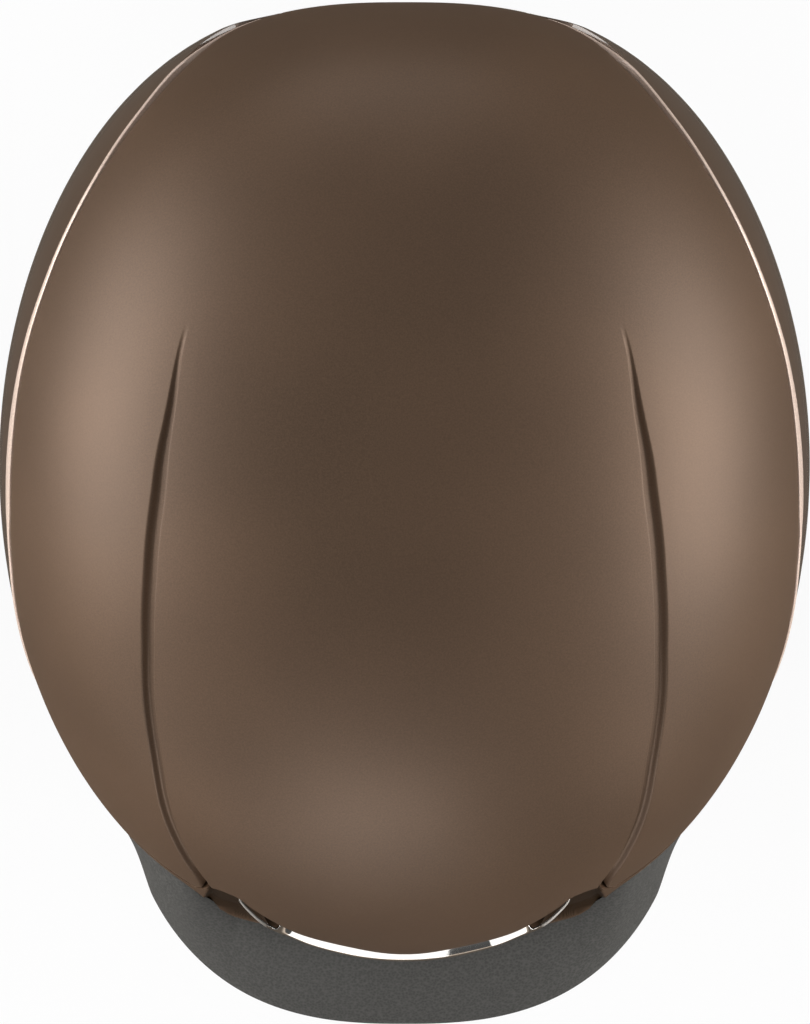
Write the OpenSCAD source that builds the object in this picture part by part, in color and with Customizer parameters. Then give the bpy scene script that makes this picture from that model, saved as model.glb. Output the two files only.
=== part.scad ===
// Riding helmet: lacquered shell, glossy side covers, peak, liner, size dial and chin harness
// Origin: middle of the head opening, in the plane of the rim. +Z up, the peak points to -Y,
// the wearer's left is +X. Millimetres.

/* [Shell] */
// Half of the widest width of the shell
half_width = 111; // [104:0.5:118]
// From the origin to the front of the shell
front_length = 133; // [126:0.5:140]
// From the origin to the back of the shell
rear_length = 127.5; // [121:0.5:134]
// Height of the widest line above the rim
belt_height = 62; // [56:1:68]
// Height of the crown above the widest line
dome_height = 96; // [90:1:102]
// How far the shell draws in from the widest line to the rim
rim_tuck = 7; // [4:0.5:10]
// How far the rim rises over the brow
brow_rise = 24; // [16:1:30]
// Wall of the outer shell
shell_wall = 3; // [2.4:0.1:3.6]
// Gap along the seams between the shell pieces
seam_gap = 0.5; // [0.3:0.1:0.8]
// Depth of the two creases beside the crown
crease_depth = 3; // [1.5:0.1:3.5]
// Half width of the two creases
crease_half = 2.3; // [1.5:0.1:3.2]
// How far the crown sits inside the side covers at the back
rear_step = 1.2; // [0.6:0.1:2]
// How far the front lip of the crown flares out
lip_flare = 1.4; // [0.6:0.1:2.2]

/* [Vents and trim] */
// Width of the bright bar under the crown, as an azimuth to each side
trim_span = 22.5; // [18:0.5:24]
// Height of the bright bar
trim_height = 5; // [4:0.1:6]
// How far the bright bar stands out of the shell line
trim_reach = 3.4; // [2.8:0.1:4.2]
// Thickness of the bright bar
trim_wall = 3.3; // [2.6:0.1:3.6]
// Number of upright bars in the front grille
front_bars = 13; // [7:2:17]
// Number of upright slats in the rear grille
rear_bars = 7; // [3:2:9]
// Width of the rear vent window
rear_window_w = 46; // [36:1:52]
// Height of the rear vent window
rear_window_h = 16; // [12:1:20]
// Greatest width of the accent strip
accent_width = 4.6; // [3.5:0.1:5.5]
// Thickness of the accent strip
accent_wall = 1.4; // [1:0.1:2]

/* [Peak] */
// Half width of the peak where it leaves the shell
peak_half = 79; // [76:0.5:81]
// How far the tip of the peak stands in front of the shell
peak_reach = 22.4; // [18:0.2:26]
// Thickness of the peak
peak_wall = 3; // [2.4:0.1:4]
// Drop of the tip of the peak below its root
peak_drop = 17; // [12:1:24]
// Thickness of the lining under the peak
lining_wall = 1; // [0.8:0.1:1.4]

/* [Rim edging] */
// Height of the soft edging
edging_height = 3; // [2.4:0.1:4]
// Width of the soft edging across the rim
edging_width = 8; // [6.5:0.5:10]

/* [Liner and pads] */
// Thickness of shell and liner together at the widest line
liner_depth = 25; // [22:0.5:28]
// Thickness of shell and liner together at the rim
liner_rim_depth = 16; // [14:0.5:19]
// Depth of the air channels inside the liner
channel_depth = 6; // [3:0.5:8]
// Half width of an air channel
channel_half = 7; // [5:0.5:9]
// Thickness of a comfort pad at its crown
pad_depth = 6; // [4:0.5:8]
// Gap between a pad and what carries it
pad_gap = 0.6; // [0.4:0.05:0.8]

/* [Size adjustment] */
// Room between a cradle arm and the liner wall at its pivot
arm_gap = 2.35; // [2:0.05:4]
// Thickness of a band
band_wall = 1.6; // [1.4:0.1:2]
// Height of a band
band_height = 14; // [11:0.5:17]
// Height of a toothed tongue without its teeth
tongue_height = 3.4; // [2.6:0.1:4]
// Teeth on the pinion
pinion_teeth = 10; // [10:2:12]
// Pitch radius of the pinion
pinion_radius = 4.2; // [4:0.1:5]
// Radius of the dial shaft
dial_shaft_r = 2; // [1.6:0.1:2.3]
// Running clearance of pins and shafts, on the radius
pin_clear = 0.05; // [0.03:0.01:0.1]
// Radius of the dial
dial_radius = 15; // [13:0.5:16]
// Thickness of the dial
dial_depth = 9; // [7:0.5:11]
// Height of the dial axis
dial_z = -22; // [-26:1:-20]
// Wall of the plates of the dial housing
plate_wall = 2; // [1.6:0.1:2.4]
// Distance of the cradle pivots in front of the origin
pivot_front = 30; // [26:1:34]
// Height of the cradle pivots
pivot_z = 10; // [8:0.5:13]
// Radius of the cradle pivot pins
pivot_r = 2; // [1.6:0.1:2.5]

/* [Chin harness] */
// Width of the webbing
strap_width = 17; // [14:0.5:19]
// Thickness of the webbing
strap_wall = 1.6; // [1.2:0.1:2]
// Radius of an anchor plug in the liner
plug_r = 5; // [4.5:0.1:5.6]
// Length of an anchor plug
plug_length = 8; // [7:0.5:9]
// Radius of an anchor screw
screw_r = 2; // [1.6:0.1:2.4]
// Length of the buckle
buckle_length = 44; // [40:1:50]
// Width of the buckle
buckle_width = 23; // [21:0.5:26]
// Height of the buckle
buckle_height = 9; // [8:0.5:11]
// Width of the toothed strip
ratchet_width = 13; // [11:0.5:15]
// Thickness of the toothed strip without its teeth
ratchet_wall = 2; // [1.6:0.1:2.4]
// Pitch of the teeth on the strip
ratchet_pitch = 2.5; // [2:0.1:3]
// Number of teeth on the strip
ratchet_teeth = 14; // [8:1:16]
// Radius of the pin of the buckle lever
lever_pin_r = 1.2; // [1:0.1:1.4]
// Height of the middle of the buckle
buckle_z = -118; // [-124:1:-112]
// Distance of the buckle in front of the origin
buckle_front = 47; // [43:1:51]

/* [Hidden] */
$fn = 48;
// Exponents of the plan outline: front and back width, front and back length
Q_FRONT = 2.2;
Q_BACK = 2.7;
P_FRONT = 2.05;
P_BACK = 1.9;
// Exponents of the dome in height and in radius
DOME_UP = 2.15;
DOME_OUT = 2.25;
// How far the top of the crown lies behind the origin, and how soon the dome grows round
CROWN_BACK = -4;
ROUNDING = 0.6;
// Azimuth and elevation of the seam between crown and side cover
SEAM = [[48, -96], [52, -74], [56, -46], [60, -21], [62, -11.2], [64, -2.6], [64.75, 0],
    [66, 1.5], [70, 5.8], [74, 9.6], [78, 13], [90, 17.6], [104, 20.6], [116, 23], [128, 23.8],
    [140, 22.3], [150, 18], [158, 11.5], [164, 7.8], [170, 6.2], [180, 5.5]];
// Lower edge of the crown over the vent, the wing and the temple
CROWN_EDGE = [[0, 4], [5, 4.8], [9, 6.2], [13.2, 8.4], [16.5, 11.6], [20.2, 14.7], [23.2, 16.9],
    [25.3, 16.2], [27.3, 14.2], [29, 9.5], [34, 7.4], [40, 4.5], [52, -1.5], [64, -5.5], [70, -8]];
// Upper edge of the brow shell below the vent, where it rises into the corner pockets
BROW_TOP = [[0, -0.6], [14, -0.3], [16.5, 2.4], [19, 8], [22, 14], [25, 18], [34, 20]];
// Line of the crease, with its depth and its width as shares of the full ones
CREASE = [[20, 6], [27, 14], [31, 19.4], [37, 27.4], [43.5, 36], [51, 42.8], [58.5, 48.3],
    [70.5, 54], [84.5, 57.8], [101, 59.3], [114, 58.6], [135, 57], [180, 55]];
CREASE_DEPTH = [[22, 0], [26, 0.75], [34, 0.85], [50, 1], [78, 1], [98, 0.6], [112, 0.12],
    [118, 0], [180, 0]];
CREASE_WIDTH = [[22, 0.6], [40, 0.8], [60, 1], [78, 1], [98, 0.6], [116, 0.3], [180, 0.3]];
// Width of the accent strip as a share of the full width
ACCENT = [[52, 0.3], [79, 0.3], [81, 0.36], [84, 0.96], [90, 1], [104, 0.66], [128, 0.36],
    [158, 0.22]];
// Middle line of the bright bar
BAR_LINE = [[0, 1], [10, 1.6], [14, 3.2], [16.5, 5], [19.5, 9.5], [22.5, 14.6]];
// Width of the stretch where the front lip flares, as an azimuth
LIP_SPAN = 5.6;
// Root line of the peak and height of its free edge
PEAK_ROOT = [[0, -3], [12, -3], [20, 1], [25, 4.5], [31, 6.5], [38, 2], [44, -7]];
PEAK_EDGE = [[0, 0], [0.4, -1.5], [0.7, -4.5], [0.9, -5], [1, -2]];
PEAK_ANGLE = 44;
PEAK_RUN = 69;
PEAK_P = 2.5;
PEAK_Q = 2.6;
// Azimuth where the side cover starts at the rim, and where its tail ends above and below
COVER_START = 52.4;
COVER_TAIL = 167.6;
TAIL_SWEEP = 7;
// Azimuth up to which the rim rises
RISE_END = 60;
RISE_RUN = 40;
// Gap between the soft edging and the shell pieces that end above it
SHELL_LIFT = 0.5;
// Room kept between shell and liner, and more of it behind the vents
LINER_ROOM = 0.4;
ROOF_ROOM = 2;
VENT_ROOM = 2.9;
GRILLE_WALL = 1.2;

function mix(a, b, t) = a + (b - a) * t;
function clamp01(t) = max(0, min(1, t));
function sstep(t) = let (c = clamp01(t)) c * c * (3 - 2 * c);
function spow(v, p) = sign(v) * pow(abs(v), p);
function bell(t) = exp(-t * t);

// Smooth curve through key points [x, y], flat beyond its ends
function slope(k, i) = (i <= 0 || i >= len(k) - 1) ? 0 :
    let (l = (k[i][1] - k[i - 1][1]) / (k[i][0] - k[i - 1][0]),
         r = (k[i + 1][1] - k[i][1]) / (k[i + 1][0] - k[i][0]))
    (l * r <= 0) ? 0 : 2 * l * r / (l + r);
function find_key(k, x, i = 0) = (i >= len(k) - 2 || x <= k[i + 1][0]) ? i : find_key(k, x, i + 1);
function curve(k, x) = (x <= k[0][0]) ? k[0][1] : (x >= k[len(k) - 1][0]) ? k[len(k) - 1][1] :
    let (i = find_key(k, x), h = k[i + 1][0] - k[i][0], t = (x - k[i][0]) / h)
    (2 * t * t * t - 3 * t * t + 1) * k[i][1] + (t * t * t - 2 * t * t + t) * h * slope(k, i)
    + (3 * t * t - 2 * t * t * t) * k[i + 1][1] + (t * t * t - t * t) * h * slope(k, i + 1);

// Point of the shell surface at azimuth a from the peak, elevation e, and depth d below it.
// Elevations from -90 to 0 run from the level of the rim up to the widest line.
function surf(a, e, d = 0) =
    let (up = max(0, min(90, e)), dn = clamp01(-e / 90),
         h = pow(sin(up), 2 / DOME_UP),
         r = pow(cos(up), 2 / DOME_OUT) * (1 - rim_tuck / half_width * dn * dn),
         t = (1 - cos(a)) / 2,
         q = mix(mix(Q_FRONT, Q_BACK, t), 2, h * ROUNDING),
         p = mix(mix(P_FRONT, P_BACK, t), 2, h * ROUNDING),
         len_y = cos(a) > 0 ? front_length : rear_length)
    [r * (half_width - d) * spow(sin(a), 2 / q),
     -r * (len_y - d) * spow(cos(a), 2 / p) - CROWN_BACK * h,
     belt_height * (1 - dn) + (dome_height - d) * h];
function unit(v) = v / norm(v);
function azi(a) = abs(a) > 180 ? 360 - abs(a) : abs(a);
// Millimetres along the surface for one degree of elevation
function mm_per_deg(a, e) = norm(surf(a, e + 0.5) - surf(a, e - 0.5));
// Elevation that a band of width w takes up across the seam
function across_seam(b, w) =
    let (t = surf(b + 0.5, curve(SEAM, b + 0.5)) - surf(b - 0.5, curve(SEAM, b - 0.5)),
         u = surf(b, curve(SEAM, b) + 0.5) - surf(b, curve(SEAM, b) - 0.5),
         s = norm(cross(unit(t), unit(u))))
    w / (norm(u) * max(s, 0.25));
function rim_z(a) = brow_rise * sstep((RISE_END - azi(a)) / RISE_RUN);
function elev_of_z(z) = -90 * (1 - z / belt_height);
function rim_elev(a, lift) = elev_of_z(rim_z(a) + lift);

// Depth of the crease at a point of the shell
function crease(a, e) =
    let (b = azi(a), s = (e - curve(CREASE, b)) * mm_per_deg(b, e),
         w = crease_half * curve(CREASE_WIDTH, b) * (s > 0 ? 0.75 : 1.35))
    crease_depth * curve(CREASE_DEPTH, b) * bell(s / w);
// Depth of the crown below the plain surface: lip in front, step at the back
function crown_form(a, e) =
    let (b = azi(a))
    rear_step * sstep((b - 125) / 30) * sstep((42 - e) / 30)
    - lip_flare * bell((e - curve(CROWN_EDGE, b)) / 7) * bell(b / LIP_SPAN);
function strip_half(b) = accent_width * curve(ACCENT, b) / 2;
function crown_low(a) =
    let (b = azi(a))
    max(curve(CROWN_EDGE, b),
        b < COVER_START ? -90 : curve(SEAM, b) + across_seam(b, strip_half(b) + seam_gap));
function cover_top(b) = curve(SEAM, b) - across_seam(b, strip_half(b) + seam_gap);

// Closed wall between an outer and an inner net of points, [column][row].
// Columns run to the right and rows upwards as seen from outside.
module wall_net(outer, inner, wrap = false, poles = []) {
    n = len(outer);
    m = len(outer[0]);
    has_pole = len(poles) == 2;
    last = wrap ? n - 1 : n - 2;
    top = m - 1;
    points = concat([for (c = outer) each c], [for (c = inner) each c], poles);
    function o(i, j) = (i % n) * m + j;
    function q(i, j) = n * m + (i % n) * m + j;
    po = 2 * n * m;
    pi = po + 1;
    skins = [for (i = [0:last], j = [0:m - 2]) each
        [[o(i, j), o(i, j + 1), o(i + 1, j + 1)], [o(i, j), o(i + 1, j + 1), o(i + 1, j)],
         [q(i, j), q(i + 1, j + 1), q(i, j + 1)], [q(i, j), q(i + 1, j), q(i + 1, j + 1)]]];
    foot = [for (i = [0:last]) each
        [[o(i, 0), o(i + 1, 0), q(i + 1, 0)], [o(i, 0), q(i + 1, 0), q(i, 0)]]];
    head = has_pole
        ? [for (i = [0:last]) each
            [[o(i, top), po, o(i + 1, top)], [q(i, top), q(i + 1, top), pi]]]
        : [for (i = [0:last]) each
            [[o(i + 1, top), o(i, top), q(i, top)], [o(i + 1, top), q(i, top), q(i + 1, top)]]];
    ends = wrap ? [] : [for (j = [0:m - 2]) each
        [[o(0, j + 1), o(0, j), q(0, j)], [o(0, j + 1), q(0, j), q(0, j + 1)],
         [o(n - 1, j), o(n - 1, j + 1), q(n - 1, j + 1)], [o(n - 1, j), q(n - 1, j + 1), q(n - 1, j)]]];
    polyhedron(points, concat(skins, foot, head, ends), convexity = 8);
}

// Bar with one ring of points after another, each ring running clockwise as seen from the start
module ring_bar(rings) {
    n = len(rings);
    m = len(rings[0]);
    points = [for (r = rings) each r];
    sides = [for (i = [0:n - 2], j = [0:m - 1]) let (k = (j + 1) % m) each
        [[i * m + j, (i + 1) * m + k, i * m + k], [i * m + j, (i + 1) * m + j, (i + 1) * m + k]]];
    start = [[for (j = [0:m - 1]) j]];
    end = [[for (j = [m - 1:-1:0]) (n - 1) * m + j]];
    polyhedron(points, concat(sides, start, end), convexity = 6);
}

// Outer shell pieces

CROWN_STEPS = 64;
CROWN_LOWER_ROWS = 3;
CROWN_UPPER_ROWS = 5;
CREASE_ROWS = [-3.4, -1.4, 0, 0.9, 2.3];
function crown_rows(a) =
    let (lo = crown_low(a), mid = max(curve(CREASE, azi(a)), lo + 5.5), hi = mid + 2.3)
    concat([for (j = [0:CROWN_LOWER_ROWS - 1]) mix(lo, mid - 3.4, j / CROWN_LOWER_ROWS)],
        [for (o = CREASE_ROWS) mid + o],
        [for (j = [1:CROWN_UPPER_ROWS]) mix(hi, 86, pow(j / CROWN_UPPER_ROWS, 0.9))]);
module crown_shell() {
    columns = [for (i = [0:CROWN_STEPS - 1]) -180 + (i + 0.5) * 360 / CROWN_STEPS];
    outer = [for (a = columns) [for (e = crown_rows(a))
        surf(a, e, crown_form(a, e) + crease(a, e))]];
    inner = [for (a = columns) [for (e = crown_rows(a))
        surf(a, e, crown_form(a, e) + shell_wall + 0.35 * crease(a, e))]];
    color("#5b4736")
        wall_net(outer, inner, true, [surf(0, 90), surf(0, 90, shell_wall)]);
}

COVER_COLUMNS = 26;
COVER_ROWS = 6;
// Elevation at share v of a piece that runs from lo to hi, with a row on the widest line
function belt_row(lo, hi, v) =
    let (mid = min(0, mix(lo, hi, 0.5))) v < 0.5 ? mix(lo, mid, 2 * v) : mix(mid, hi, 2 * v - 1);
// The tail of a side cover runs in over this azimuth, until it is flush with the rear panel
TAIL_TAPER = 8;
function tail_set(b) = rear_step * sstep((b - COVER_TAIL + TAIL_TAPER) / TAIL_TAPER);
module side_shell_left() {
    net = function (d, set) [for (i = [0:COVER_COLUMNS])
        let (u = i / COVER_COLUMNS, b = mix(COVER_START, COVER_TAIL, pow(u, 0.9)))
        [for (j = [0:COVER_ROWS])
            let (v = j / COVER_ROWS, a = b - TAIL_SWEEP * (1 - v) * pow(u, 4),
                 e = belt_row(rim_elev(b, edging_height + SHELL_LIFT), cover_top(b), v))
            surf(a, e, d + set * tail_set(b))]];
    color("#60503f") wall_net(net(0, 1), net(shell_wall, 0));
}
module side_shell_right() {
    mirror([1, 0, 0]) side_shell_left();
}

ACCENT_COLUMNS = 30;
ACCENT_END = 160;
module accent_strip_left() {
    net = function (d) [for (i = [0:ACCENT_COLUMNS])
        let (b = mix(COVER_START + 1.5, ACCENT_END, i / ACCENT_COLUMNS))
        [for (s = [-1, 1])
            surf(b, curve(SEAM, b) + s * across_seam(b, strip_half(b)), d)]];
    color("#d9c4b6") wall_net(net(-0.15), net(accent_wall));
}
module accent_strip_right() {
    mirror([1, 0, 0]) accent_strip_left();
}

BROW_COLUMNS = 34;
BROW_ROWS = 6;
BROW_SET = 0.5;
BROW_END = 62.6;
// The scoop beside the vent: its two ends as azimuths, how gently they run out, and its depth
POCKET = [17, 30];
POCKET_RUN = 3;
POCKET_DEPTH = 2.6;
function pocket(b, e) =
    POCKET_DEPTH * sstep((b - POCKET[0]) / POCKET_RUN) * sstep((POCKET[1] - b) / POCKET_RUN)
    * sstep(e / 4);
module brow_shell() {
    net = function (d) [for (i = [0:BROW_COLUMNS])
        let (a = mix(-BROW_END, BROW_END, i / BROW_COLUMNS), b = abs(a),
             seam = b < COVER_START ? -90
                : curve(SEAM, b) + across_seam(b, strip_half(b) + seam_gap),
             lo = max(rim_elev(a, edging_height + SHELL_LIFT), seam),
             hi = min(curve(BROW_TOP, b), curve(CROWN_EDGE, b) - seam_gap))
        [for (j = [0:BROW_ROWS])
            let (e = belt_row(lo, hi, j / BROW_ROWS)) surf(a, e, BROW_SET + pocket(b, e) + d)]];
    color("#57432f") wall_net(net(0), net(shell_wall - 0.4));
}

REAR_COLUMNS = 10;
REAR_ROWS = 4;
REAR_WINDOW_Z = 39;
WINDOW_CUT = 30;
module rear_window(grow) {
    r = rear_window_h / 2 + grow;
    translate([0, rear_length + 10, REAR_WINDOW_Z])
        rotate([90, 0, 0])
            linear_extrude(WINDOW_CUT)
                union() {
                    square([rear_window_w - rear_window_h, 2 * r], center = true);
                    for (s = [-1, 1])
                        translate([s * (rear_window_w - rear_window_h) / 2, 0]) circle(r);
                }
}
module rear_shell() {
    net = function (d) [for (i = [0:REAR_COLUMNS])
        let (u = 2 * i / REAR_COLUMNS - 1)
        [for (j = [0:REAR_ROWS])
            let (v = j / REAR_ROWS,
                 half = 180 - (COVER_TAIL - TAIL_SWEEP * (1 - v)) - 0.5,
                 a = 180 + u * half,
                 e = belt_row(rim_elev(180, edging_height + SHELL_LIFT), curve(SEAM, azi(a)) - 0.4, v))
            surf(a, e, rear_step + d)]];
    color("#57432f")
        difference() {
            wall_net(net(0), net(shell_wall));
            rear_window(0);
        }
}

// Trim, grilles, peak and edging

BAR_COLUMNS = 24;
BAR_END = 22.5;
BAR_SIDES = 8;
BAR_TAPER = [[0, 1], [15, 1], [17.5, 0.5], [22.5, 0.3]];
BAR_DEPTH = [[0, 0], [3.9, 0.11], [7.7, 0.35], [11.7, 0.6], [14.5, 0.86], [18, 0.9], [22.5, 1]];
module front_trim() {
    rings = [for (i = [0:BAR_COLUMNS])
        let (a = trim_span * (2 * i / BAR_COLUMNS - 1), b = abs(a) * BAR_END / trim_span,
             s = curve(BAR_TAPER, b), e0 = curve(BAR_LINE, b),
             he = s * trim_height / 2 / mm_per_deg(b, max(e0, 2)),
             hd = max(0.35, s) * trim_wall / 2,
             d0 = mix(trim_wall / 2 - trim_reach, 1.4, curve(BAR_DEPTH, b)))
        [for (k = [0:BAR_SIDES - 1]) let (w = 360 * (k + 0.5) / BAR_SIDES)
            surf(a, e0 + he * spow(sin(w), 0.8), d0 + hd * spow(cos(w), 0.8))]];
    color("#d8d8d8") ring_bar(rings);
}

GRILLE_FACE = 4;
FRONT_GRILLE_ANGLE = 16.5;
FRONT_RAILS = [[-4, -1.5], [4.5, 5.8], [11, 13]];
module shell_patch(a0, a1, e0, e1, d0, d1, steps) {
    net = function (d) [for (i = [0:steps]) let (a = mix(a0, a1, i / steps))
        [surf(a, e0, d), surf(a, e1, d)]];
    wall_net(net(d0), net(d1));
}
module front_vent_grille() {
    g = FRONT_GRILLE_ANGLE;
    bar = 0.5;
    color("#1d1d1d")
        union() {
            for (r = FRONT_RAILS)
                shell_patch(-g, g, r[0], r[1], GRILLE_FACE, GRILLE_FACE + GRILLE_WALL, 16);
            for (i = [0:front_bars - 1]) let (a = mix(-g + bar, g - bar, i / (front_bars - 1)))
                shell_patch(a - bar, a + bar, -3, 12, GRILLE_FACE + 0.1,
                    GRILLE_FACE + GRILLE_WALL - 0.1, 1);
        }
}
REAR_GRILLE_FACE = 4.6;
module rear_vent_grille() {
    w = rear_window_w / 2 + 3;
    g = w / rear_length * 180 / PI * 1.02;
    e0 = elev_of_z(REAR_WINDOW_Z - rear_window_h / 2 - 3);
    e1 = elev_of_z(REAR_WINDOW_Z + rear_window_h / 2 + 3);
    rail = 3.4;
    bar = 0.6;
    color("#1d1d1d")
        union() {
            for (r = [[e0, e0 + rail], [e1 - rail, e1]])
                shell_patch(180 - g, 180 + g, r[0], r[1], REAR_GRILLE_FACE,
                    REAR_GRILLE_FACE + GRILLE_WALL, 10);
            for (i = [0:rear_bars - 1]) let (a = 180 + mix(-g + bar, g - bar, i / (rear_bars - 1)))
                shell_patch(a - bar, a + bar, e0 + 1, e1 - 1, REAR_GRILLE_FACE + 0.1,
                    REAR_GRILLE_FACE + GRILLE_WALL - 0.1, 1);
        }
}

PEAK_COLUMNS = 30;
PEAK_ROWS = [0, 0.3, 0.6, 0.85, 1];
PEAK_ROOT_SET = 0.2;
function peak_root(u) =
    let (a = PEAK_ANGLE * u) surf(a, curve(PEAK_ROOT, abs(a)), PEAK_ROOT_SET);
function peak_rim(u) =
    let (f = 90 - 71.3 * pow(abs(u), 1.15),
         x = sign(u) * peak_half * 1.019 * pow(cos(f), 2 / PEAK_Q),
         y = -(front_length - PEAK_RUN + (peak_reach + PEAK_RUN) * pow(sin(f), 2 / PEAK_P)),
         s = surf(PEAK_ANGLE * u, 0, -1.2), k = sstep((abs(u) - 0.82) / 0.18))
    [mix(x, s[0], k), mix(y, s[1], k), belt_height - peak_drop + curve(PEAK_EDGE, abs(u))];
// Point of the peak: u runs across, s from the root to the free edge, t down through the wall
function peak_point(u, s, t) =
    let (r = peak_root(u), f = peak_rim(u), in = 0.7 * t / peak_wall * smooth_edge(s),
         n = unit([f[0] - r[0], f[1] - r[1], 0]))
    [mix(r[0], f[0], s) - n[0] * in, mix(r[1], f[1], s) - n[1] * in,
     mix(r[2], f[2], pow(s, 1.25)) - t * (1 - 0.25 * s)];
function smooth_edge(s) = s > 0.99 ? 1 : 0;
function peak_net(t, inset) = [for (i = [0:PEAK_COLUMNS])
    let (u = (1 - inset) * (2 * i / PEAK_COLUMNS - 1))
    [for (s = PEAK_ROWS) peak_point(u, mix(inset, 1 - inset, s), t)]];
// The peak's upper side faces up, so its root row is the upper one seen from outside
module peak_slab(t0, t1, inset) {
    function flip(net) = [for (c = net) [for (j = [len(c) - 1:-1:0]) c[j]]];
    wall_net(flip(peak_net(t0, inset)), flip(peak_net(t1, inset)));
}
LINING_GAP = 0.95;
LINING_INSET = 0.14;
module visor() {
    color("#4b4a48") peak_slab(0, peak_wall, 0);
}
module visor_lining() {
    color("#2a2a2b")
        peak_slab(peak_wall + LINING_GAP, peak_wall + LINING_GAP + lining_wall, LINING_INSET);
}

EDGING_STEPS = 60;
EDGING_FRONT = 26;
EDGING_OVER = 0.6;
module edge_trim() {
    outer = function (a) surf(a, -90, -EDGING_OVER);
    inner = function (a) surf(a, -90, edging_width - EDGING_OVER);
    side = [for (i = [0:EDGING_STEPS]) mix(RISE_END, 360 - RISE_END, i / EDGING_STEPS)];
    ring = concat([for (a = side) [outer(a)[0], outer(a)[1]]],
        [for (i = [EDGING_STEPS:-1:0]) [inner(side[i])[0], inner(side[i])[1]]]);
    net = function (f) [for (i = [0:EDGING_FRONT])
        let (a = RISE_END * (2 * i / EDGING_FRONT - 1), p = f(a))
        [for (z = [0, edging_height]) [p[0], p[1], rim_z(a) + z]]];
    color("#222222")
        union() {
            linear_extrude(edging_height) polygon(ring);
            wall_net(net(outer), net(inner));
        }
}

// Liner and pads

LINER_CHANNELS = 6;
LINER_SECTOR = 360 / LINER_CHANNELS;
CHANNEL_COLUMNS = [-7.5, -4.5, 4.5, 7.5, 15, 22.5, 30, 37.5, 45];
// Shares of the way from the rim to the widest line, then elevations above it
LINER_LOW = [0, 0.33, 0.67];
LINER_HIGH = [0, 8, 18, 30, 43, 57, 70, 81];
LINER_LIFT = 0.9;
function vent_front(b, e) = sstep((40 - b) / 12) * sstep((e + 32) / 12) * sstep((34 - e) / 10);
function vent_rear(b, e) = sstep((b - 148) / 12) * sstep((14 - e) / 8);
function liner_out(a, e) =
    let (b = azi(a))
    shell_wall + LINER_ROOM
    + max(ROOF_ROOM * max(sstep(e / 8), sstep((b - 122) / 20)),
        VENT_ROOM * max(vent_front(b, e), vent_rear(b, e)));
// Azimuth from the middle of the nearest air channel
function from_channel(a) = abs((a + 540 + LINER_SECTOR / 2) % LINER_SECTOR - LINER_SECTOR / 2);
function liner_in(a, e, channels = true) =
    let (dn = clamp01(-e / 90), span = channel_half / (half_width - liner_depth) * 180 / PI,
         k = channels ? sstep((span * 1.45 - from_channel(a)) / (span * 0.65)) : 0)
    mix(liner_depth, liner_rim_depth, dn)
    - channel_depth * k * sstep((e + 4) / 10) * sstep((72 - e) / 12);
function liner_rows(a) =
    let (lo = rim_elev(a, edging_height + LINER_LIFT))
    concat([for (v = LINER_LOW) mix(lo, 0, v)], LINER_HIGH);
FRONT_DUCT = [20, 9];
FRONT_DUCT_X = 14;
REAR_DUCT = [17, 11];
REAR_DUCT_X = 12;
DUCT_CUT = 40;
module impact_liner() {
    columns = [for (k = [0:LINER_CHANNELS - 1], c = CHANNEL_COLUMNS) k * LINER_SECTOR + c];
    net = function (f) [for (a = columns) [for (e = liner_rows(a)) surf(a, e, f(a, e))]];
    color("#2b2b2d")
        difference() {
            wall_net(net(function (a, e) liner_out(a, e)), net(function (a, e) liner_in(a, e)),
                true, [surf(0, 90, liner_out(0, 90)), surf(0, 90, liner_depth)]);
            for (s = [-1, 1]) {
                translate([s * FRONT_DUCT_X - FRONT_DUCT[0] / 2, -front_length, belt_height + 3])
                    cube([FRONT_DUCT[0], DUCT_CUT, FRONT_DUCT[1]]);
                translate([s * REAR_DUCT_X - REAR_DUCT[0] / 2, rear_length - 36,
                        REAR_WINDOW_Z - REAR_DUCT[1] / 2])
                    cube([REAR_DUCT[0], DUCT_CUT, REAR_DUCT[1]]);
            }
            for (s = [-1, 1]) {
                for (h = ANCHORS)
                    at_wall(s, h) translate([0, 0, -1]) cylinder(r = plug_r, h = plug_length + 1.2);
                translate([s * (pivot_wall_x() - 1), -pivot_front, pivot_z])
                    rotate([0, s * 90, 0]) cylinder(r = pivot_r + 0.02, h = PIVOT_BITE + 1);
            }
        }
}

// Cushion shape: full in the middle, drawn in along its four sides
function cushion(u, v) =
    mix(0.28, 1, pow(clamp01(1 - pow(abs(2 * u - 1), 4)), 0.5)
        * pow(clamp01(1 - pow(abs(2 * v - 1), 4)), 0.5));
CROWN_PAD_COLUMNS = 36;
CROWN_PAD_ROWS = [0, 0.12, 0.35, 0.62];
module crown_pad() {
    columns = [for (i = [0:CROWN_PAD_COLUMNS - 1]) i * 360 / CROWN_PAD_COLUMNS];
    low = function (a) 66 + 9 * cos(a * LINER_CHANNELS);
    net = function (f) [for (a = columns) [for (v = CROWN_PAD_ROWS)
        let (e = mix(low(a), 89, v))
        surf(a, e, liner_depth + pad_gap + f(v))]];
    full = function (v) pad_depth * mix(0.3, 1, sqrt(clamp01(1 - pow(1 - v / 0.62, 3))));
    color("#333336")
        wall_net(net(function (v) 0), net(full), true,
            [surf(0, 90, liner_depth + pad_gap), surf(0, 90, liner_depth + pad_gap + pad_depth)]);
}
module wall_pad(a0, a1, z0, z1, columns, rows, rise) {
    net = function (k) [for (i = [0:columns]) let (u = i / columns, a = mix(a0, a1, u))
        [for (j = [0:rows])
            let (v = j / rows, lift = rise ? rim_z(a) : 0,
                 e = elev_of_z(mix(z0 + lift, max(z1, z0 + lift + 8), v)))
            surf(a, e, liner_in(a, e, false) + pad_gap + k * pad_depth * cushion(u, v))]];
    wall_net(net(0), net(1));
}
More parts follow.
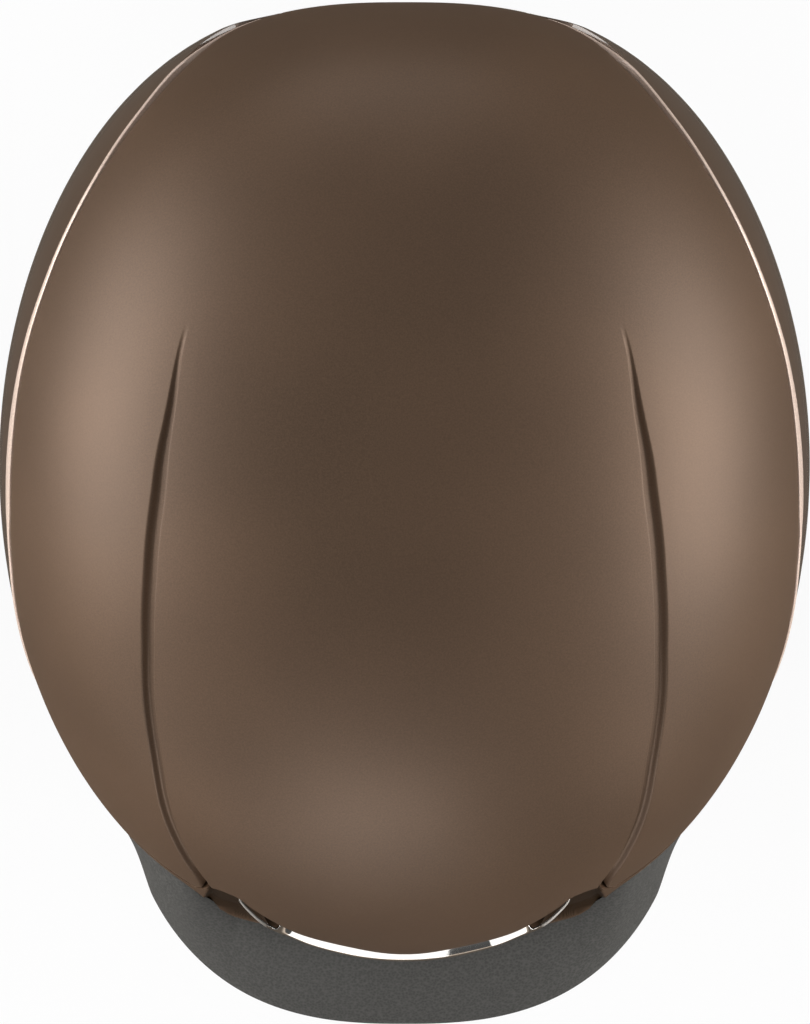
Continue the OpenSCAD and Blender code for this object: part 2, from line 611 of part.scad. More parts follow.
// Azimuths of the ends of the pads on the wall, and the heights of their lower and upper edges
FOREHEAD_AT = [-50, 50];
FOREHEAD_LOW = 9;
SIDE_AT = [78, 106];
SIDE_LOW = 26;
PAD_HIGH = 57;
module forehead_pad() {
    color("#333336")
        wall_pad(FOREHEAD_AT[0], FOREHEAD_AT[1], FOREHEAD_LOW, PAD_HIGH, 26, 6, true);
}
module side_pad_left() {
    color("#333336") wall_pad(SIDE_AT[0], SIDE_AT[1], SIDE_LOW, PAD_HIGH, 12, 6, false);
}
module side_pad_right() {
    mirror([1, 0, 0]) side_pad_left();
}

// Strap anchors

// Azimuth of the front and the rear anchors
ANCHORS = [63, 118];
ANCHOR_Z = 14;
WASHER_WALL = 0.8;
WASHER_R = 4.6;
SCREW_HEAD_R = 3.6;
SCREW_HEAD_H = 1.8;
SCREW_LENGTH = 7;
STRAP_SEAT = 0.9;
function anchor_point(a) =
    let (e = elev_of_z(ANCHOR_Z)) surf(a, e, liner_in(a, e, false));
function anchor_out(a) =
    let (e = elev_of_z(ANCHOR_Z),
         t = surf(a + 1, e, liner_depth) - surf(a - 1, e, liner_depth))
    unit([-t[1], t[0], 0]) * -1;
// Local +Z points outward through the liner wall; side is 1 on the wearer's left
module at_wall(side, a) {
    p = anchor_point(a);
    n = anchor_out(a);
    mirror([side > 0 ? 0 : 1, 0, 0])
        translate(p) rotate([0, 0, atan2(n[1], n[0])]) rotate([0, 90, 0]) children();
}
module each_anchor() {
    for (s = [-1, 1], h = ANCHORS) at_wall(s, h) children();
}
module anchor_plugs() {
    color("#3a3a3c")
        each_anchor()
            difference() {
                cylinder(r = plug_r - 0.02, h = plug_length);
                translate([0, 0, -1]) cylinder(r = screw_r + 0.02, h = SCREW_LENGTH + 1.4);
            }
}
module anchor_washers() {
    color("#9a9a9a")
        each_anchor()
            translate([0, 0, -STRAP_SEAT - strap_wall - WASHER_WALL])
                difference() {
                    cylinder(r = WASHER_R, h = WASHER_WALL);
                    translate([0, 0, -1]) cylinder(r = screw_r + 0.2, h = WASHER_WALL + 2);
                }
}
module anchor_screws() {
    base = -STRAP_SEAT - strap_wall - WASHER_WALL;
    color("#8f8f92")
        each_anchor()
            union() {
                translate([0, 0, base - SCREW_HEAD_H])
                    difference() {
                        cylinder(r = SCREW_HEAD_R, h = SCREW_HEAD_H);
                        translate([0, 0, -1]) cylinder(r = 1.5, h = 1.9, $fn = 6);
                    }
                translate([0, 0, base]) cylinder(r = screw_r, h = SCREW_LENGTH - base);
            }
}

// Webbing: a flat band along path points, each with the outward direction of its face
function band_side(path, i) =
    unit(path[min(i + 1, len(path) - 1)] - path[max(i - 1, 0)]);
module webbing(path, faces, width) {
    rings = [for (i = [0:len(path) - 1])
        let (t = band_side(path, i), w = unit(cross(t, faces[i])), n = unit(cross(w, t)))
        [for (c = [[-1, -1], [-1, 1], [1, 1], [1, -1]])
            path[i] + w * c[0] * width / 2 + n * c[1] * strap_wall / 2]];
    ring_bar(rings);
}
// Divider under the ear
DIVIDER = [half_width - 34, -4, -68];
DIVIDER_SIZE = [8, 37, 24];
DIVIDER_WALL = 1.5;
LAYER = strap_wall / 2 + 0.2;
function seat_point(a) = anchor_point(a) - anchor_out(a) * (STRAP_SEAT + strap_wall / 2);
module front_strap_left() {
    a = ANCHORS[0];
    p = seat_point(a);
    n = anchor_out(a);
    top = p + [0, 0, 9];
    low = p + [0, 0, -9];
    d = DIVIDER;
    path = [top, low, d + [4.4, -40.5, 60], d + [3, -30, 42], d + [-0.4, -14, 22],
        [d[0] - LAYER, d[1] - 5, d[2] + 12], [d[0] - LAYER, d[1] - 2, d[2] + 3]];
    faces = [n, n, [0.97, -0.24, 0], [0.99, -0.1, 0], [1, 0, 0], [1, 0, 0], [1, 0, 0]];
    color("#2c2c2e")
        difference() {
            webbing(path, faces, strap_width);
            at_wall(1, a) translate([0, 0, -6]) cylinder(r = screw_r + 0.2, h = 8);
        }
}
module front_strap_right() {
    mirror([1, 0, 0]) front_strap_left();
}
// The rear strap passes this far outside the middle of the bands
BAND_PASS = 5.4;
module rear_strap_left() {
    a = ANCHORS[1];
    p = seat_point(a);
    n = anchor_out(a);
    top = p + [0, 0, 9];
    low = p + [0, 0, -9];
    d = DIVIDER;
    x = band_radius() + BAND_PASS;
    path = [top, low, d + [6.6, 47, 60], [x, d[1] + 37, d[2] + 41], [x - 0.2, d[1] + 28, d[2] + 30],
        d + [2.6, 17, 22],
        [d[0] + LAYER, d[1] + 4.5, d[2] + 12], [d[0] + LAYER, d[1] + 2, d[2] + 3]];
    faces = [n, n, [0.98, 0.2, 0], [0.99, 0.1, 0], [1, 0, 0], [1, 0, 0], [1, 0, 0],
        [1, 0, 0]];
    color("#2c2c2e")
        difference() {
            webbing(path, faces, strap_width);
            at_wall(1, a) translate([0, 0, -6]) cylinder(r = screw_r + 0.2, h = 8);
        }
}
module rear_strap_right() {
    mirror([1, 0, 0]) rear_strap_left();
}
module strap_divider_left() {
    s = DIVIDER_SIZE;
    w = DIVIDER_WALL;
    color("#1f1f21")
        translate(DIVIDER)
            difference() {
                rotate([90, 0, 90])
                    linear_extrude(s[0], center = true)
                        rounded([s[1], s[2]], 4);
                cube([s[0] - 2 * w, s[1] - 2 * w - 1, s[2] + 2], center = true);
                translate([s[0] / 2, 0, 0])
                    rotate([90, 0, 90])
                        linear_extrude(2 * w + 2, center = true) rounded([s[1] - 14, s[2] - 12], 3);
            }
}
module strap_divider_right() {
    mirror([1, 0, 0]) strap_divider_left();
}
module rounded(size, r) {
    union() {
        square([size[0] - 2 * r, size[1]], center = true);
        square([size[0], size[1] - 2 * r], center = true);
        for (x = [-1, 1], y = [-1, 1])
            translate([x * (size[0] / 2 - r), y * (size[1] / 2 - r)]) circle(r);
    }
}
// Chin straps run from the dividers round the jaw to the buckle
BUCKLE_LEFT = 30;
BUCKLE_RIGHT = BUCKLE_LEFT - buckle_length;
STRAP_POCKET = 3;
POCKET_ROOM = [0.5, 0.8];
CHIN_STEPS = 9;
CHIN_DROP = 30;
CHIN_RUN = 24;
// A cubic curve that leaves the divider downwards and reaches the buckle sideways
function bezier(p, t) =
    p[0] * pow(1 - t, 3) + p[1] * 3 * t * pow(1 - t, 2) + p[2] * 3 * t * t * (1 - t) + p[3] * pow(t, 3);
function chin_path(x_end) =
    let (p = DIVIDER + [0, -1, -12.5], end = [x_end, -buckle_front, buckle_z],
         q = end + [STRAP_POCKET + 1, 0, 0],
         bend = [p, p + [0, -CHIN_DROP / 5, -CHIN_DROP], q + [CHIN_RUN, 0, 0], q])
    concat([DIVIDER + [0, -0.5, 0]], [for (i = [0:CHIN_STEPS]) bezier(bend, i / CHIN_STEPS)], [end]);
CHIN_FACES = [for (i = [-1:CHIN_STEPS + 1])
    let (s = sstep(max(i, 0) / (CHIN_STEPS - 1))) [1 - s, -0.8 * s * (1 - s), -s]];
module chin_strap_left() {
    color("#2c2c2e") webbing(chin_path(BUCKLE_LEFT - STRAP_POCKET + 0.3), CHIN_FACES, strap_width);
}
EYE_X = 48;
EYE_LENGTH = 9;
module chin_strap_right() {
    color("#2c2c2e")
        mirror([1, 0, 0]) webbing(chin_path(EYE_X - STRAP_POCKET + 0.3), CHIN_FACES, strap_width);
}

module strap_pocket() {
    w = strap_width + 2 * POCKET_ROOM[1];
    h = strap_wall + 2 * POCKET_ROOM[0];
    translate([0, -w / 2, -h / 2]) cube([STRAP_POCKET + 1, w, h]);
}

// Ratchet buckle. The strip slides along X, the lever turns about the pin across it.

STRIP_TOP = 2.8;
TOOTH = 1;
STRIP_REACH = 14;
CHANNEL_ROOM = 0.35;
LEVER_HINGE = [24, -2.4];
LEVER_HALF = 8;
LEVER_TOP = -1.9;
LEVER_WALL = 2.4;
KNUCKLE_R = 2.6;
PAWL_X = -4;
module in_buckle() {
    translate([0, -buckle_front, buckle_z]) children();
}
module buckle_body() {
    h = buckle_height;
    w = buckle_width;
    half = ratchet_width / 2 + CHANNEL_ROOM;
    mid = (BUCKLE_LEFT + BUCKLE_RIGHT) / 2;
    color("#1b1b1d")
        in_buckle()
            difference() {
                translate([mid, 0, -h / 2]) linear_extrude(h) rounded([buckle_length, w], 4);
                translate([BUCKLE_RIGHT - 1, -half, STRIP_TOP - ratchet_wall - TOOTH - 1])
                    cube([STRIP_REACH + 4 - BUCKLE_RIGHT, 2 * half,
                        ratchet_wall + TOOTH + 1 + CHANNEL_ROOM]);
                translate([BUCKLE_RIGHT - 1, -LEVER_HALF - 0.4, -h])
                    cube([LEVER_HINGE[0] + KNUCKLE_R + 0.6 - BUCKLE_RIGHT + 1,
                        2 * LEVER_HALF + 0.8, h + STRIP_TOP - ratchet_wall - TOOTH - 0.2]);
                translate([LEVER_HINGE[0] - KNUCKLE_R - 0.6, -LEVER_HALF - 0.4, -h])
                    cube([2 * KNUCKLE_R + 1.2, 2 * LEVER_HALF + 0.8, h + 0.6]);
                translate([BUCKLE_LEFT - STRAP_POCKET, 0, 0]) strap_pocket();
                translate([LEVER_HINGE[0], 0, LEVER_HINGE[1]])
                    rotate([90, 0, 0]) cylinder(r = lever_pin_r + 0.01, h = w + 2, center = true);
            }
}
module lever_pin() {
    color("#a0a0a2")
        in_buckle()
            translate([LEVER_HINGE[0], 0, LEVER_HINGE[1]])
                rotate([90, 0, 0]) cylinder(r = lever_pin_r, h = buckle_width - 1, center = true);
}
module buckle_lever() {
    x0 = BUCKLE_RIGHT + 1;
    hx = LEVER_HINGE[0];
    color("#262628")
        in_buckle()
            difference() {
                union() {
                    translate([x0, -LEVER_HALF, LEVER_TOP - LEVER_WALL])
                        cube([hx - x0, 2 * LEVER_HALF, LEVER_WALL]);
                    translate([hx, 0, LEVER_HINGE[1]])
                        rotate([90, 0, 0])
                            cylinder(r = KNUCKLE_R, h = 2 * LEVER_HALF, center = true);
                    translate([PAWL_X, ratchet_width / 2 - 0.5, LEVER_TOP - 0.5])
                        rotate([90, 0, 0])
                            linear_extrude(ratchet_width - 1)
                                polygon([[-2.2, 0], [2, 0], [0.6, 1.2], [-0.4, 1.2]]);
                    for (i = [0:3])
                        translate([x0 + 2 + 2.6 * i, -LEVER_HALF + 1, LEVER_TOP - LEVER_WALL - 0.6])
                            cube([1.2, 2 * LEVER_HALF - 2, 1]);
                }
                translate([hx, 0, LEVER_HINGE[1]])
                    rotate([90, 0, 0])
                        cylinder(r = lever_pin_r + pin_clear, h = buckle_width, center = true);
            }
}
module release_tab() {
    x0 = BUCKLE_RIGHT + 1;
    color("#b3352c")
        in_buckle()
            translate([x0, 0, LEVER_TOP - LEVER_WALL])
                linear_extrude(1.6)
                    difference() {
                        translate([-4.5, 0]) rounded([9, 12], 3);
                        translate([-5.2, 0]) circle(1.6);
                    }
}
module lever_spring() {
    color("#b0b0b2")
        in_buckle()
            translate([11, -LEVER_HALF - 0.4, LEVER_TOP + 0.5]) cube([9, 2 * LEVER_HALF + 0.8, 0.35]);
}
module buckle_tongue() {
    top = STRIP_TOP;
    under = top - ratchet_wall;
    eye_w = strap_width + 5;
    color("#202022")
        in_buckle()
            difference() {
                union() {
                    translate([-EYE_X + EYE_LENGTH - 1, -ratchet_width / 2, under])
                        cube([EYE_X - EYE_LENGTH + 1 + STRIP_REACH, ratchet_width, ratchet_wall]);
                    translate([-EYE_X + EYE_LENGTH / 2, 0, -2.6])
                        linear_extrude(2.6 + top) rounded([EYE_LENGTH, eye_w], 2.5);
                    for (i = [0:ratchet_teeth - 1])
                        translate([STRIP_REACH - 1 - i * ratchet_pitch, ratchet_width / 2, under])
                            rotate([90, 0, 0])
                                linear_extrude(ratchet_width)
                                    polygon([[0, 0.2], [0, -TOOTH], [-0.5, -TOOTH],
                                        [-ratchet_pitch + 0.3, 0], [-ratchet_pitch + 0.3, 0.2]]);
                }
                translate([-EYE_X + STRAP_POCKET, 0, 0]) mirror([1, 0, 0]) strap_pocket();
            }
}
CHIN_PAD = [64, 28, 5];
CHIN_PAD_COLUMNS = 12;
CHIN_PAD_ROWS = 8;
module chin_pad() {
    z0 = buckle_z + buckle_height / 2 + pad_gap;
    net = function (k) [for (i = [0:CHIN_PAD_COLUMNS]) [for (j = [0:CHIN_PAD_ROWS])
        let (u = i / CHIN_PAD_COLUMNS, v = j / CHIN_PAD_ROWS)
        [-3 + (u - 0.5) * CHIN_PAD[0], -buckle_front + (v - 0.5) * CHIN_PAD[1],
         z0 + k * CHIN_PAD[2] * cushion(u, v)]]];
    color("#333336") wall_net(net(1), net(0));
}

// Rear cradle with its size dial. Bands turn about the vertical line of their arcs.

ARC_Y = 12;
HOUSING_ANGLE = 21;
HOUSING_HALF = 11.5;
PLATE_GAP = 0.6;
WING_START = 31;
WING_END = 82;
TONGUE_END = -12;
GUIDE = [56, 62];
ARM_SET = 0.7;
ARM_WALL = 2.6;
ARC_WALL = 1.8;
// The arc lies this far inside the faces of the plate and the guides
ARC_INSET = 0.1;
ARM_HEIGHT = 9;
ARM_END_ANGLE = 72;
PIVOT_BITE = 5;
PIVOT_EYE_R = 6;
PIVOT_ARM_X = pivot_wall_x() - arm_gap;
ARM_ROOM = 0.1;
HOUSING_R = PIVOT_ARM_X - ARM_WALL - ARM_ROOM;
COVER_R = HOUSING_R - band_wall - 2 * ARM_SET;
// Radius of the middle of the sliding bands
function band_radius() = HOUSING_R - ARM_SET - band_wall / 2;
SHAFT_BACK = 2.6;
// The spacer on a pivot pin stops short of the curved liner wall
SPACER_ROOM = 1.3;
module on_arc(z = 0) {
    translate([0, ARC_Y, dial_z + z]) children();
}
// Ring sector from azimuth g0 to g1, both measured from +Y towards the wearer's left
module sector(r0, r1, z0, z1, g0, g1) {
    rotate([0, 0, 90 - g1])
        rotate_extrude(angle = g1 - g0, $fn = 96)
            translate([r0, z0]) square([r1 - r0, z1 - z0]);
}
function pivot_wall_x() =
    let (e = elev_of_z(pivot_z), wall = function (a) surf(a, e, liner_in(a, e, false)),
         find = function (find, lo, hi, n) let (m = (lo + hi) / 2)
             n == 0 ? wall(m)[0] : wall(m)[1] > -pivot_front ? find(find, lo, m, n - 1)
                 : find(find, m, hi, n - 1))
    find(find, 40, 120, 24);
module arm_left() {
    r = HOUSING_R + ARM_WALL / 2 + 0.3;
    g = ARM_END_ANGLE;
    start = [r * sin(g), ARC_Y + r * cos(g), dial_z];
    x = PIVOT_ARM_X - ARM_WALL / 2;
    path = [[r * sin(g - 4), ARC_Y + r * cos(g - 4), dial_z], start,
        [r * sin(g + 10) , ARC_Y + r * cos(g + 10), dial_z + 2.5],
        [x - 0.2, ARC_Y - 6, dial_z + 9], [x, -pivot_front + 18, pivot_z - 9],
        [x, -pivot_front + 7, pivot_z - 3], [x, -pivot_front + 1, pivot_z]];
    rings = [for (i = [0:len(path) - 1])
        let (t = band_side(path, i), o = unit([path[i][0], (path[i][1] - ARC_Y) * (i < 3 ? 1 : 0.05), 0]),
             w = unit(cross(t, o)), n = unit(cross(w, t)))
        [for (c = [[-1, -1], [-1, 1], [1, 1], [1, -1]])
            path[i] + w * c[0] * (ARM_HEIGHT + 0.6) / 2 + n * c[1] * ARM_WALL / 2]];
    ring_bar(rings);
}
module cradle_frame() {
    r0 = HOUSING_R;
    r1 = HOUSING_R + ARC_INSET + ARC_WALL;
    h = HOUSING_HALF;
    a = HOUSING_ANGLE;
    boss = ARC_Y + r1 + SHAFT_BACK;
    color("#3b3b3e")
        difference() {
            union() {
                on_arc() sector(r0, r0 + plate_wall, -h, h, -a, a);
                on_arc() sector(COVER_R, r0 + 0.5, h - 1.6, h, -a, a);
                on_arc() sector(COVER_R, r0 + 0.5, -h, -h + 1.6, -a, a);
                translate([0, boss, dial_z])
                    rotate([90, 0, 0]) cylinder(r = 5, h = SHAFT_BACK + 1);
                for (s = [0, 1]) mirror([s, 0, 0]) {
                    on_arc()
                        sector(r0 + ARC_INSET, r1, -ARM_HEIGHT / 2, ARM_HEIGHT / 2, a - 1, ARM_END_ANGLE - 2);
                    on_arc() guide();
                    arm_left();
                    translate([PIVOT_ARM_X - ARM_WALL, -pivot_front, pivot_z])
                        rotate([0, 90, 0]) cylinder(r = PIVOT_EYE_R, h = ARM_WALL);
                }
            }
            translate([0, boss + 1, dial_z])
                rotate([90, 0, 0]) cylinder(r = dial_shaft_r + pin_clear, h = 12);
            for (s = [-1, 1])
                translate([s * (PIVOT_ARM_X + 2), -pivot_front, pivot_z])
                    rotate([0, -s * 90, 0]) cylinder(r = pivot_r + pin_clear, h = ARM_WALL + 4);
        }
}
module guide() {
    r0 = HOUSING_R;
    h = band_height / 2;
    for (s = [0, 1]) mirror([0, 0, s]) {
        sector(r0, r0 + ARC_WALL + 2 * ARC_INSET, 0, h + 2, GUIDE[0], GUIDE[1]);
        sector(COVER_R - 1, r0 + 0.5, h + 0.4, h + 2, GUIDE[0], GUIDE[1]);
        sector(COVER_R - 1, COVER_R, h - 2.5, h + 1, GUIDE[0], GUIDE[1]);
    }
}
module housing_cover() {
    h = HOUSING_HALF;
    color("#303033")
        difference() {
            on_arc() sector(COVER_R - plate_wall, COVER_R, -h, h, -HOUSING_ANGLE, HOUSING_ANGLE);
            translate([0, ARC_Y + COVER_R + 1, dial_z])
                rotate([90, 0, 0]) cylinder(r = dial_shaft_r + pin_clear, h = plate_wall + 3);
        }
}
module cradle_pins() {
    wall = pivot_wall_x();
    color("#7c7c80")
        for (s = [0, 1]) mirror([s, 0, 0])
            translate([0, -pivot_front, pivot_z])
                rotate([0, 90, 0]) {
                    translate([0, 0, PIVOT_ARM_X - ARM_WALL - 0.3 - 1.4])
                        cylinder(r = pivot_r + 1.6, h = 1.4);
                    translate([0, 0, PIVOT_ARM_X - ARM_WALL - 0.4])
                        cylinder(r = pivot_r, h = wall + PIVOT_BITE - PIVOT_ARM_X + ARM_WALL);
                    translate([0, 0, PIVOT_ARM_X + 0.3])
                        cylinder(r = pivot_r + 1.6, h = wall - SPACER_ROOM - PIVOT_ARM_X - 0.3);
                }
}
module adjuster_dial() {
    back = ARC_Y + HOUSING_R + ARC_WALL + SHAFT_BACK + 0.4;
    r = dial_radius;
    ribs = 20;
    color("#242426")
        translate([0, back, dial_z])
            rotate([-90, 0, 0])
                difference() {
                    union() {
                        cylinder(r = r - 1.2, h = dial_depth);
                        cylinder(r = r, h = dial_depth - 3);
                        for (i = [0:ribs - 1])
                            rotate([0, 0, i * 360 / ribs])
                                translate([r - 0.6, -0.9, 0]) cube([1.4, 1.8, dial_depth - 2]);
                    }
                    translate([0, 0, dial_depth - 1.4]) cylinder(r = r - 4, h = 3);
                    translate([0, 0, -1]) cylinder(r = dial_shaft_r, h = dial_depth - 1.6);
                }
}
PINION_MODULE = 2 * pinion_radius / pinion_teeth;
TOOTH_ADD = 0.72 * PINION_MODULE;
TOOTH_DED = 1.0 * PINION_MODULE;
MESH_ROOM = 0.3;
// Half width of a pinion tooth or a rack tooth at the pitch line, with backlash taken off
TOOTH_HALF = PI * PINION_MODULE / 4 - MESH_ROOM / 2 - 0.06;
module dial_pinion() {
    rp = pinion_radius;
    back = ARC_Y + HOUSING_R + ARC_WALL + SHAFT_BACK + 0.4;
    front = ARC_Y + COVER_R;
    width = HOUSING_R - COVER_R - 0.6;
    tip = TOOTH_HALF - TOOTH_ADD * tan(22);
    root = TOOTH_HALF + TOOTH_DED * tan(10);
    color("#c9c6bd")
        union() {
            translate([0, front + 0.3 + width, dial_z])
                rotate([90, 0, 0])
                    linear_extrude(width)
                        union() {
                            circle(rp - TOOTH_DED);
                            for (i = [0:pinion_teeth - 1])
                                rotate(i * 360 / pinion_teeth)
                                    polygon([[rp - TOOTH_DED - 0.4, -root], [rp, -TOOTH_HALF],
                                        [rp + TOOTH_ADD, -tip], [rp + TOOTH_ADD, tip],
                                        [rp, TOOTH_HALF], [rp - TOOTH_DED - 0.4, root]]);
                        }
            translate([0, back + dial_depth - 2.8, dial_z])
                rotate([90, 0, 0])
                    cylinder(r = dial_shaft_r, h = back + dial_depth - 2.8 - front + plate_wall - 0.3);
        }
}
RACK_ANGLE = PINION_MODULE * PI / band_radius() * 180 / PI;
// The toothed stretch reaches past the pinion at both ends of the travel
// The tongue is a little thinner than the wing, and the teeth than the tongue
TONGUE_SET = 0.1;
TOOTH_SET = 0.22;
RACK_FIRST = -6;
RACK_LAST = 7;
// Sliding band; the toothed tongue lies above the pinion on the left band
module band(up) {
    r0 = band_radius() - band_wall / 2;
    r1 = band_radius() + band_wall / 2;
    pitch = up * pinion_radius;
    base = pitch + up * TOOTH_DED;
    far = base + up * tongue_height;
    z = function (a, b) [min(a, b), max(a, b)];
    body = z(base, far);
    teeth = z(pitch - up * TOOTH_ADD, base + up * 0.4);
    tip = TOOTH_HALF - TOOTH_ADD * tan(20);
    root = TOOTH_HALF + TOOTH_DED * tan(20);
    union() {
        sector(r0 + TONGUE_SET, r1 - TONGUE_SET, body[0], body[1], TONGUE_END, WING_START + 1);
        sector(r0, r1, -band_height / 2, band_height / 2, WING_START, WING_END);
        for (i = [RACK_FIRST:RACK_LAST])
            rotate([0, 0, 90 - i * RACK_ANGLE])
                translate([r1 - TOOTH_SET, 0, 0])
                    rotate([0, -90, 0])
                        linear_extrude(r1 - r0 - 2 * TOOTH_SET)
                            polygon([[pitch - up * TOOTH_ADD, -tip], [pitch - up * TOOTH_ADD, tip],
                                [base + up * 0.4, root], [base + up * 0.4, -root]]);
    }
}
module band_left() {
    color("#4a4a4e") on_arc() band(1);
}
module band_right() {
    color("#4a4a4e") on_arc() mirror([1, 0, 0]) band(-1);
}
CRADLE_PAD_ANGLE = 24;
CRADLE_PAD_COLUMNS = 16;
CRADLE_PAD_ROWS = 8;
module cradle_pad() {
    r = COVER_R - plate_wall - pad_gap;
    h = HOUSING_HALF + 3;
    net = function (k) [for (i = [0:CRADLE_PAD_COLUMNS])
        let (u = i / CRADLE_PAD_COLUMNS, g = CRADLE_PAD_ANGLE * (1 - 2 * u))
        [for (j = [0:CRADLE_PAD_ROWS])
            let (v = j / CRADLE_PAD_ROWS, q = r - k * (pad_depth - 1) * cushion(u, v))
            [q * sin(g), ARC_Y + q * cos(g), dial_z + (v - 0.5) * 2 * h]]];
    color("#333336") wall_net(net(0), net(1));
}

crown_shell();
side_shell_left();
side_shell_right();
accent_strip_left();
accent_strip_right();
brow_shell();
rear_shell();
front_trim();
front_vent_grille();
rear_vent_grille();
visor();
visor_lining();
edge_trim();
impact_liner();
crown_pad();
forehead_pad();
side_pad_left();
side_pad_right();
anchor_plugs();
anchor_washers();
anchor_screws();
front_strap_left();
front_strap_right();
rear_strap_left();
rear_strap_right();
strap_divider_left();
strap_divider_right();
chin_strap_left();
chin_strap_right();
buckle_body();
lever_pin();
buckle_lever();
release_tab();
lever_spring();
buckle_tongue();
chin_pad();
cradle_frame();
housing_cover();
cradle_pins();
adjuster_dial();
dial_pinion();
band_left();
band_right();
cradle_pad();
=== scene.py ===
"""Looks of a riding helmet: lacquered shells, bright trim, peak, liner, pads, harness and size dial.

Lengths are millimetres until a mesh is made, which is in metres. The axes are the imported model's own:
+Z is up, the peak points to -Y and the wearer's left is +X.
"""

import logging
import math
from contextlib import contextmanager
from dataclasses import dataclass, field
from enum import Enum
from typing import Any, Callable, Iterator, Optional, Sequence, Union

import bmesh
import bpy
import numpy as np
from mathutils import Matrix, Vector
from mathutils.bvhtree import BVHTree
from mathutils.kdtree import KDTree


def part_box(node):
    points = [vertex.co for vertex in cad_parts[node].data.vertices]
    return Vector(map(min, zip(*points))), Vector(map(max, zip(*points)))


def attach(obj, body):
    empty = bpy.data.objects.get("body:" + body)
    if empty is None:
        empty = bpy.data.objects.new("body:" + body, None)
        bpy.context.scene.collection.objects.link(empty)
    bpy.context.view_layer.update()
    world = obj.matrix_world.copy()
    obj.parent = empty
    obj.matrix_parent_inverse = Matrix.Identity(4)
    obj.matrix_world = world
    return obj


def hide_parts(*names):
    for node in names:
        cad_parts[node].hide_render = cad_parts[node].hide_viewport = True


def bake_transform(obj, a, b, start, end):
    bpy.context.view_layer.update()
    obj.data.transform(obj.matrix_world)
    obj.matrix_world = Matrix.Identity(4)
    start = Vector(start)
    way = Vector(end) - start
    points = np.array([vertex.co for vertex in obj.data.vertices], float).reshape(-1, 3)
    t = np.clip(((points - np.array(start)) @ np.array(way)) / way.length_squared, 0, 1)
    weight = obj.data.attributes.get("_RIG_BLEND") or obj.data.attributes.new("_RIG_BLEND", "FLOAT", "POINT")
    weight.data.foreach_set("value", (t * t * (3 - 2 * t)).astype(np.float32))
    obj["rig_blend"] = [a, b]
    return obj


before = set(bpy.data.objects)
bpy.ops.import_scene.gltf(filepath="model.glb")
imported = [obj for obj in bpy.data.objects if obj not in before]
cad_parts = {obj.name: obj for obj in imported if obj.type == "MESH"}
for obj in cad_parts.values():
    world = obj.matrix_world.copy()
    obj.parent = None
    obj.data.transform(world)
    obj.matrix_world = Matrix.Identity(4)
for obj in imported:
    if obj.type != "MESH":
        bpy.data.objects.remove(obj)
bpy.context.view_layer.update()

LOG = logging.getLogger("riding_helmet")
MM = 0.001

Array = np.ndarray
Object = bpy.types.Object
Number = Union[float, Array]
Colour = tuple[float, float, float]
MIRROR = np.array([-1.0, 1.0, 1.0])
SIDES = (("left", False), ("right", True))


# Small maths


def mix(a: Number, b: Number, t: Number) -> Number:
    """Straight line from a to b at share t."""
    return a + (b - a) * t


def smooth(t: Number) -> Number:
    """Soft step from 0 to 1 while t runs from 0 to 1."""
    c = np.clip(t, 0.0, 1.0)
    return c * c * (3 - 2 * c)


def signed_power(v: Number, p: Number) -> Number:
    """Power of the size of v, with the sign of v."""
    return np.sign(v) * np.abs(v) ** p


def bell(t: Number) -> Number:
    """Bell curve of height 1 and half width near 1."""
    return np.exp(-t * t)


def column(low: float, high: float, count: int, endpoint: bool = True) -> Array:
    """Even steps for the columns of a net, along its first axis."""
    return np.linspace(low, high, count, endpoint=endpoint)[:, None]


def row(low: float, high: float, count: int, endpoint: bool = True) -> Array:
    """Even steps for the rows of a net, along its second axis."""
    return np.linspace(low, high, count, endpoint=endpoint)[None, :]


def hill(t: Number, start: float, rise: float, fall: float, end: float) -> Number:
    """Soft rise over one run from start, and soft fall over another down to end."""
    return smooth((t - start) / rise) * smooth((end - t) / fall)


def unit(v: Array) -> Array:
    """Vectors along the last axis, scaled to length 1."""
    return v / np.maximum(np.linalg.norm(v, axis=-1, keepdims=True), 1e-12)


def tone(colour: Colour, share: Union[float, Colour] = 1.0, lift: float = 0.0) -> tuple[float, ...]:
    """Scene-linear colour of a screen colour, made lighter or darker.

    Args:
        colour: Red, green and blue from 0 to 255.
        share: What it is multiplied by, one for all or one for each of the three.
        lift: What is added then.

    Returns:
        The colour with an alpha of 1.
    """
    c = np.asarray(colour, float) / 255
    plain = np.where(c <= 0.04045, c / 12.92, ((c + 0.055) / 1.055) ** 2.4)
    return (*(plain * share + lift).tolist(), 1.0)


def soft_section(count: int, across: float, up: float) -> tuple[Array, Array]:
    """Points round a section between an ellipse and a box.

    Args:
        count: Number of points.
        across: Power of the shares across; the smaller, the squarer.
        up: Power of the shares upwards.

    Returns:
        Shares across and upwards, from -1 to 1.
    """
    w = np.radians(360 * (np.arange(count) + 0.5) / count)
    return signed_power(np.cos(w), across), signed_power(np.sin(w), up)


def below_belt(e: Number) -> Array:
    """Share of the way from the widest line down to the rim plane."""
    return np.clip(-np.asarray(e) / 90, 0, 1)


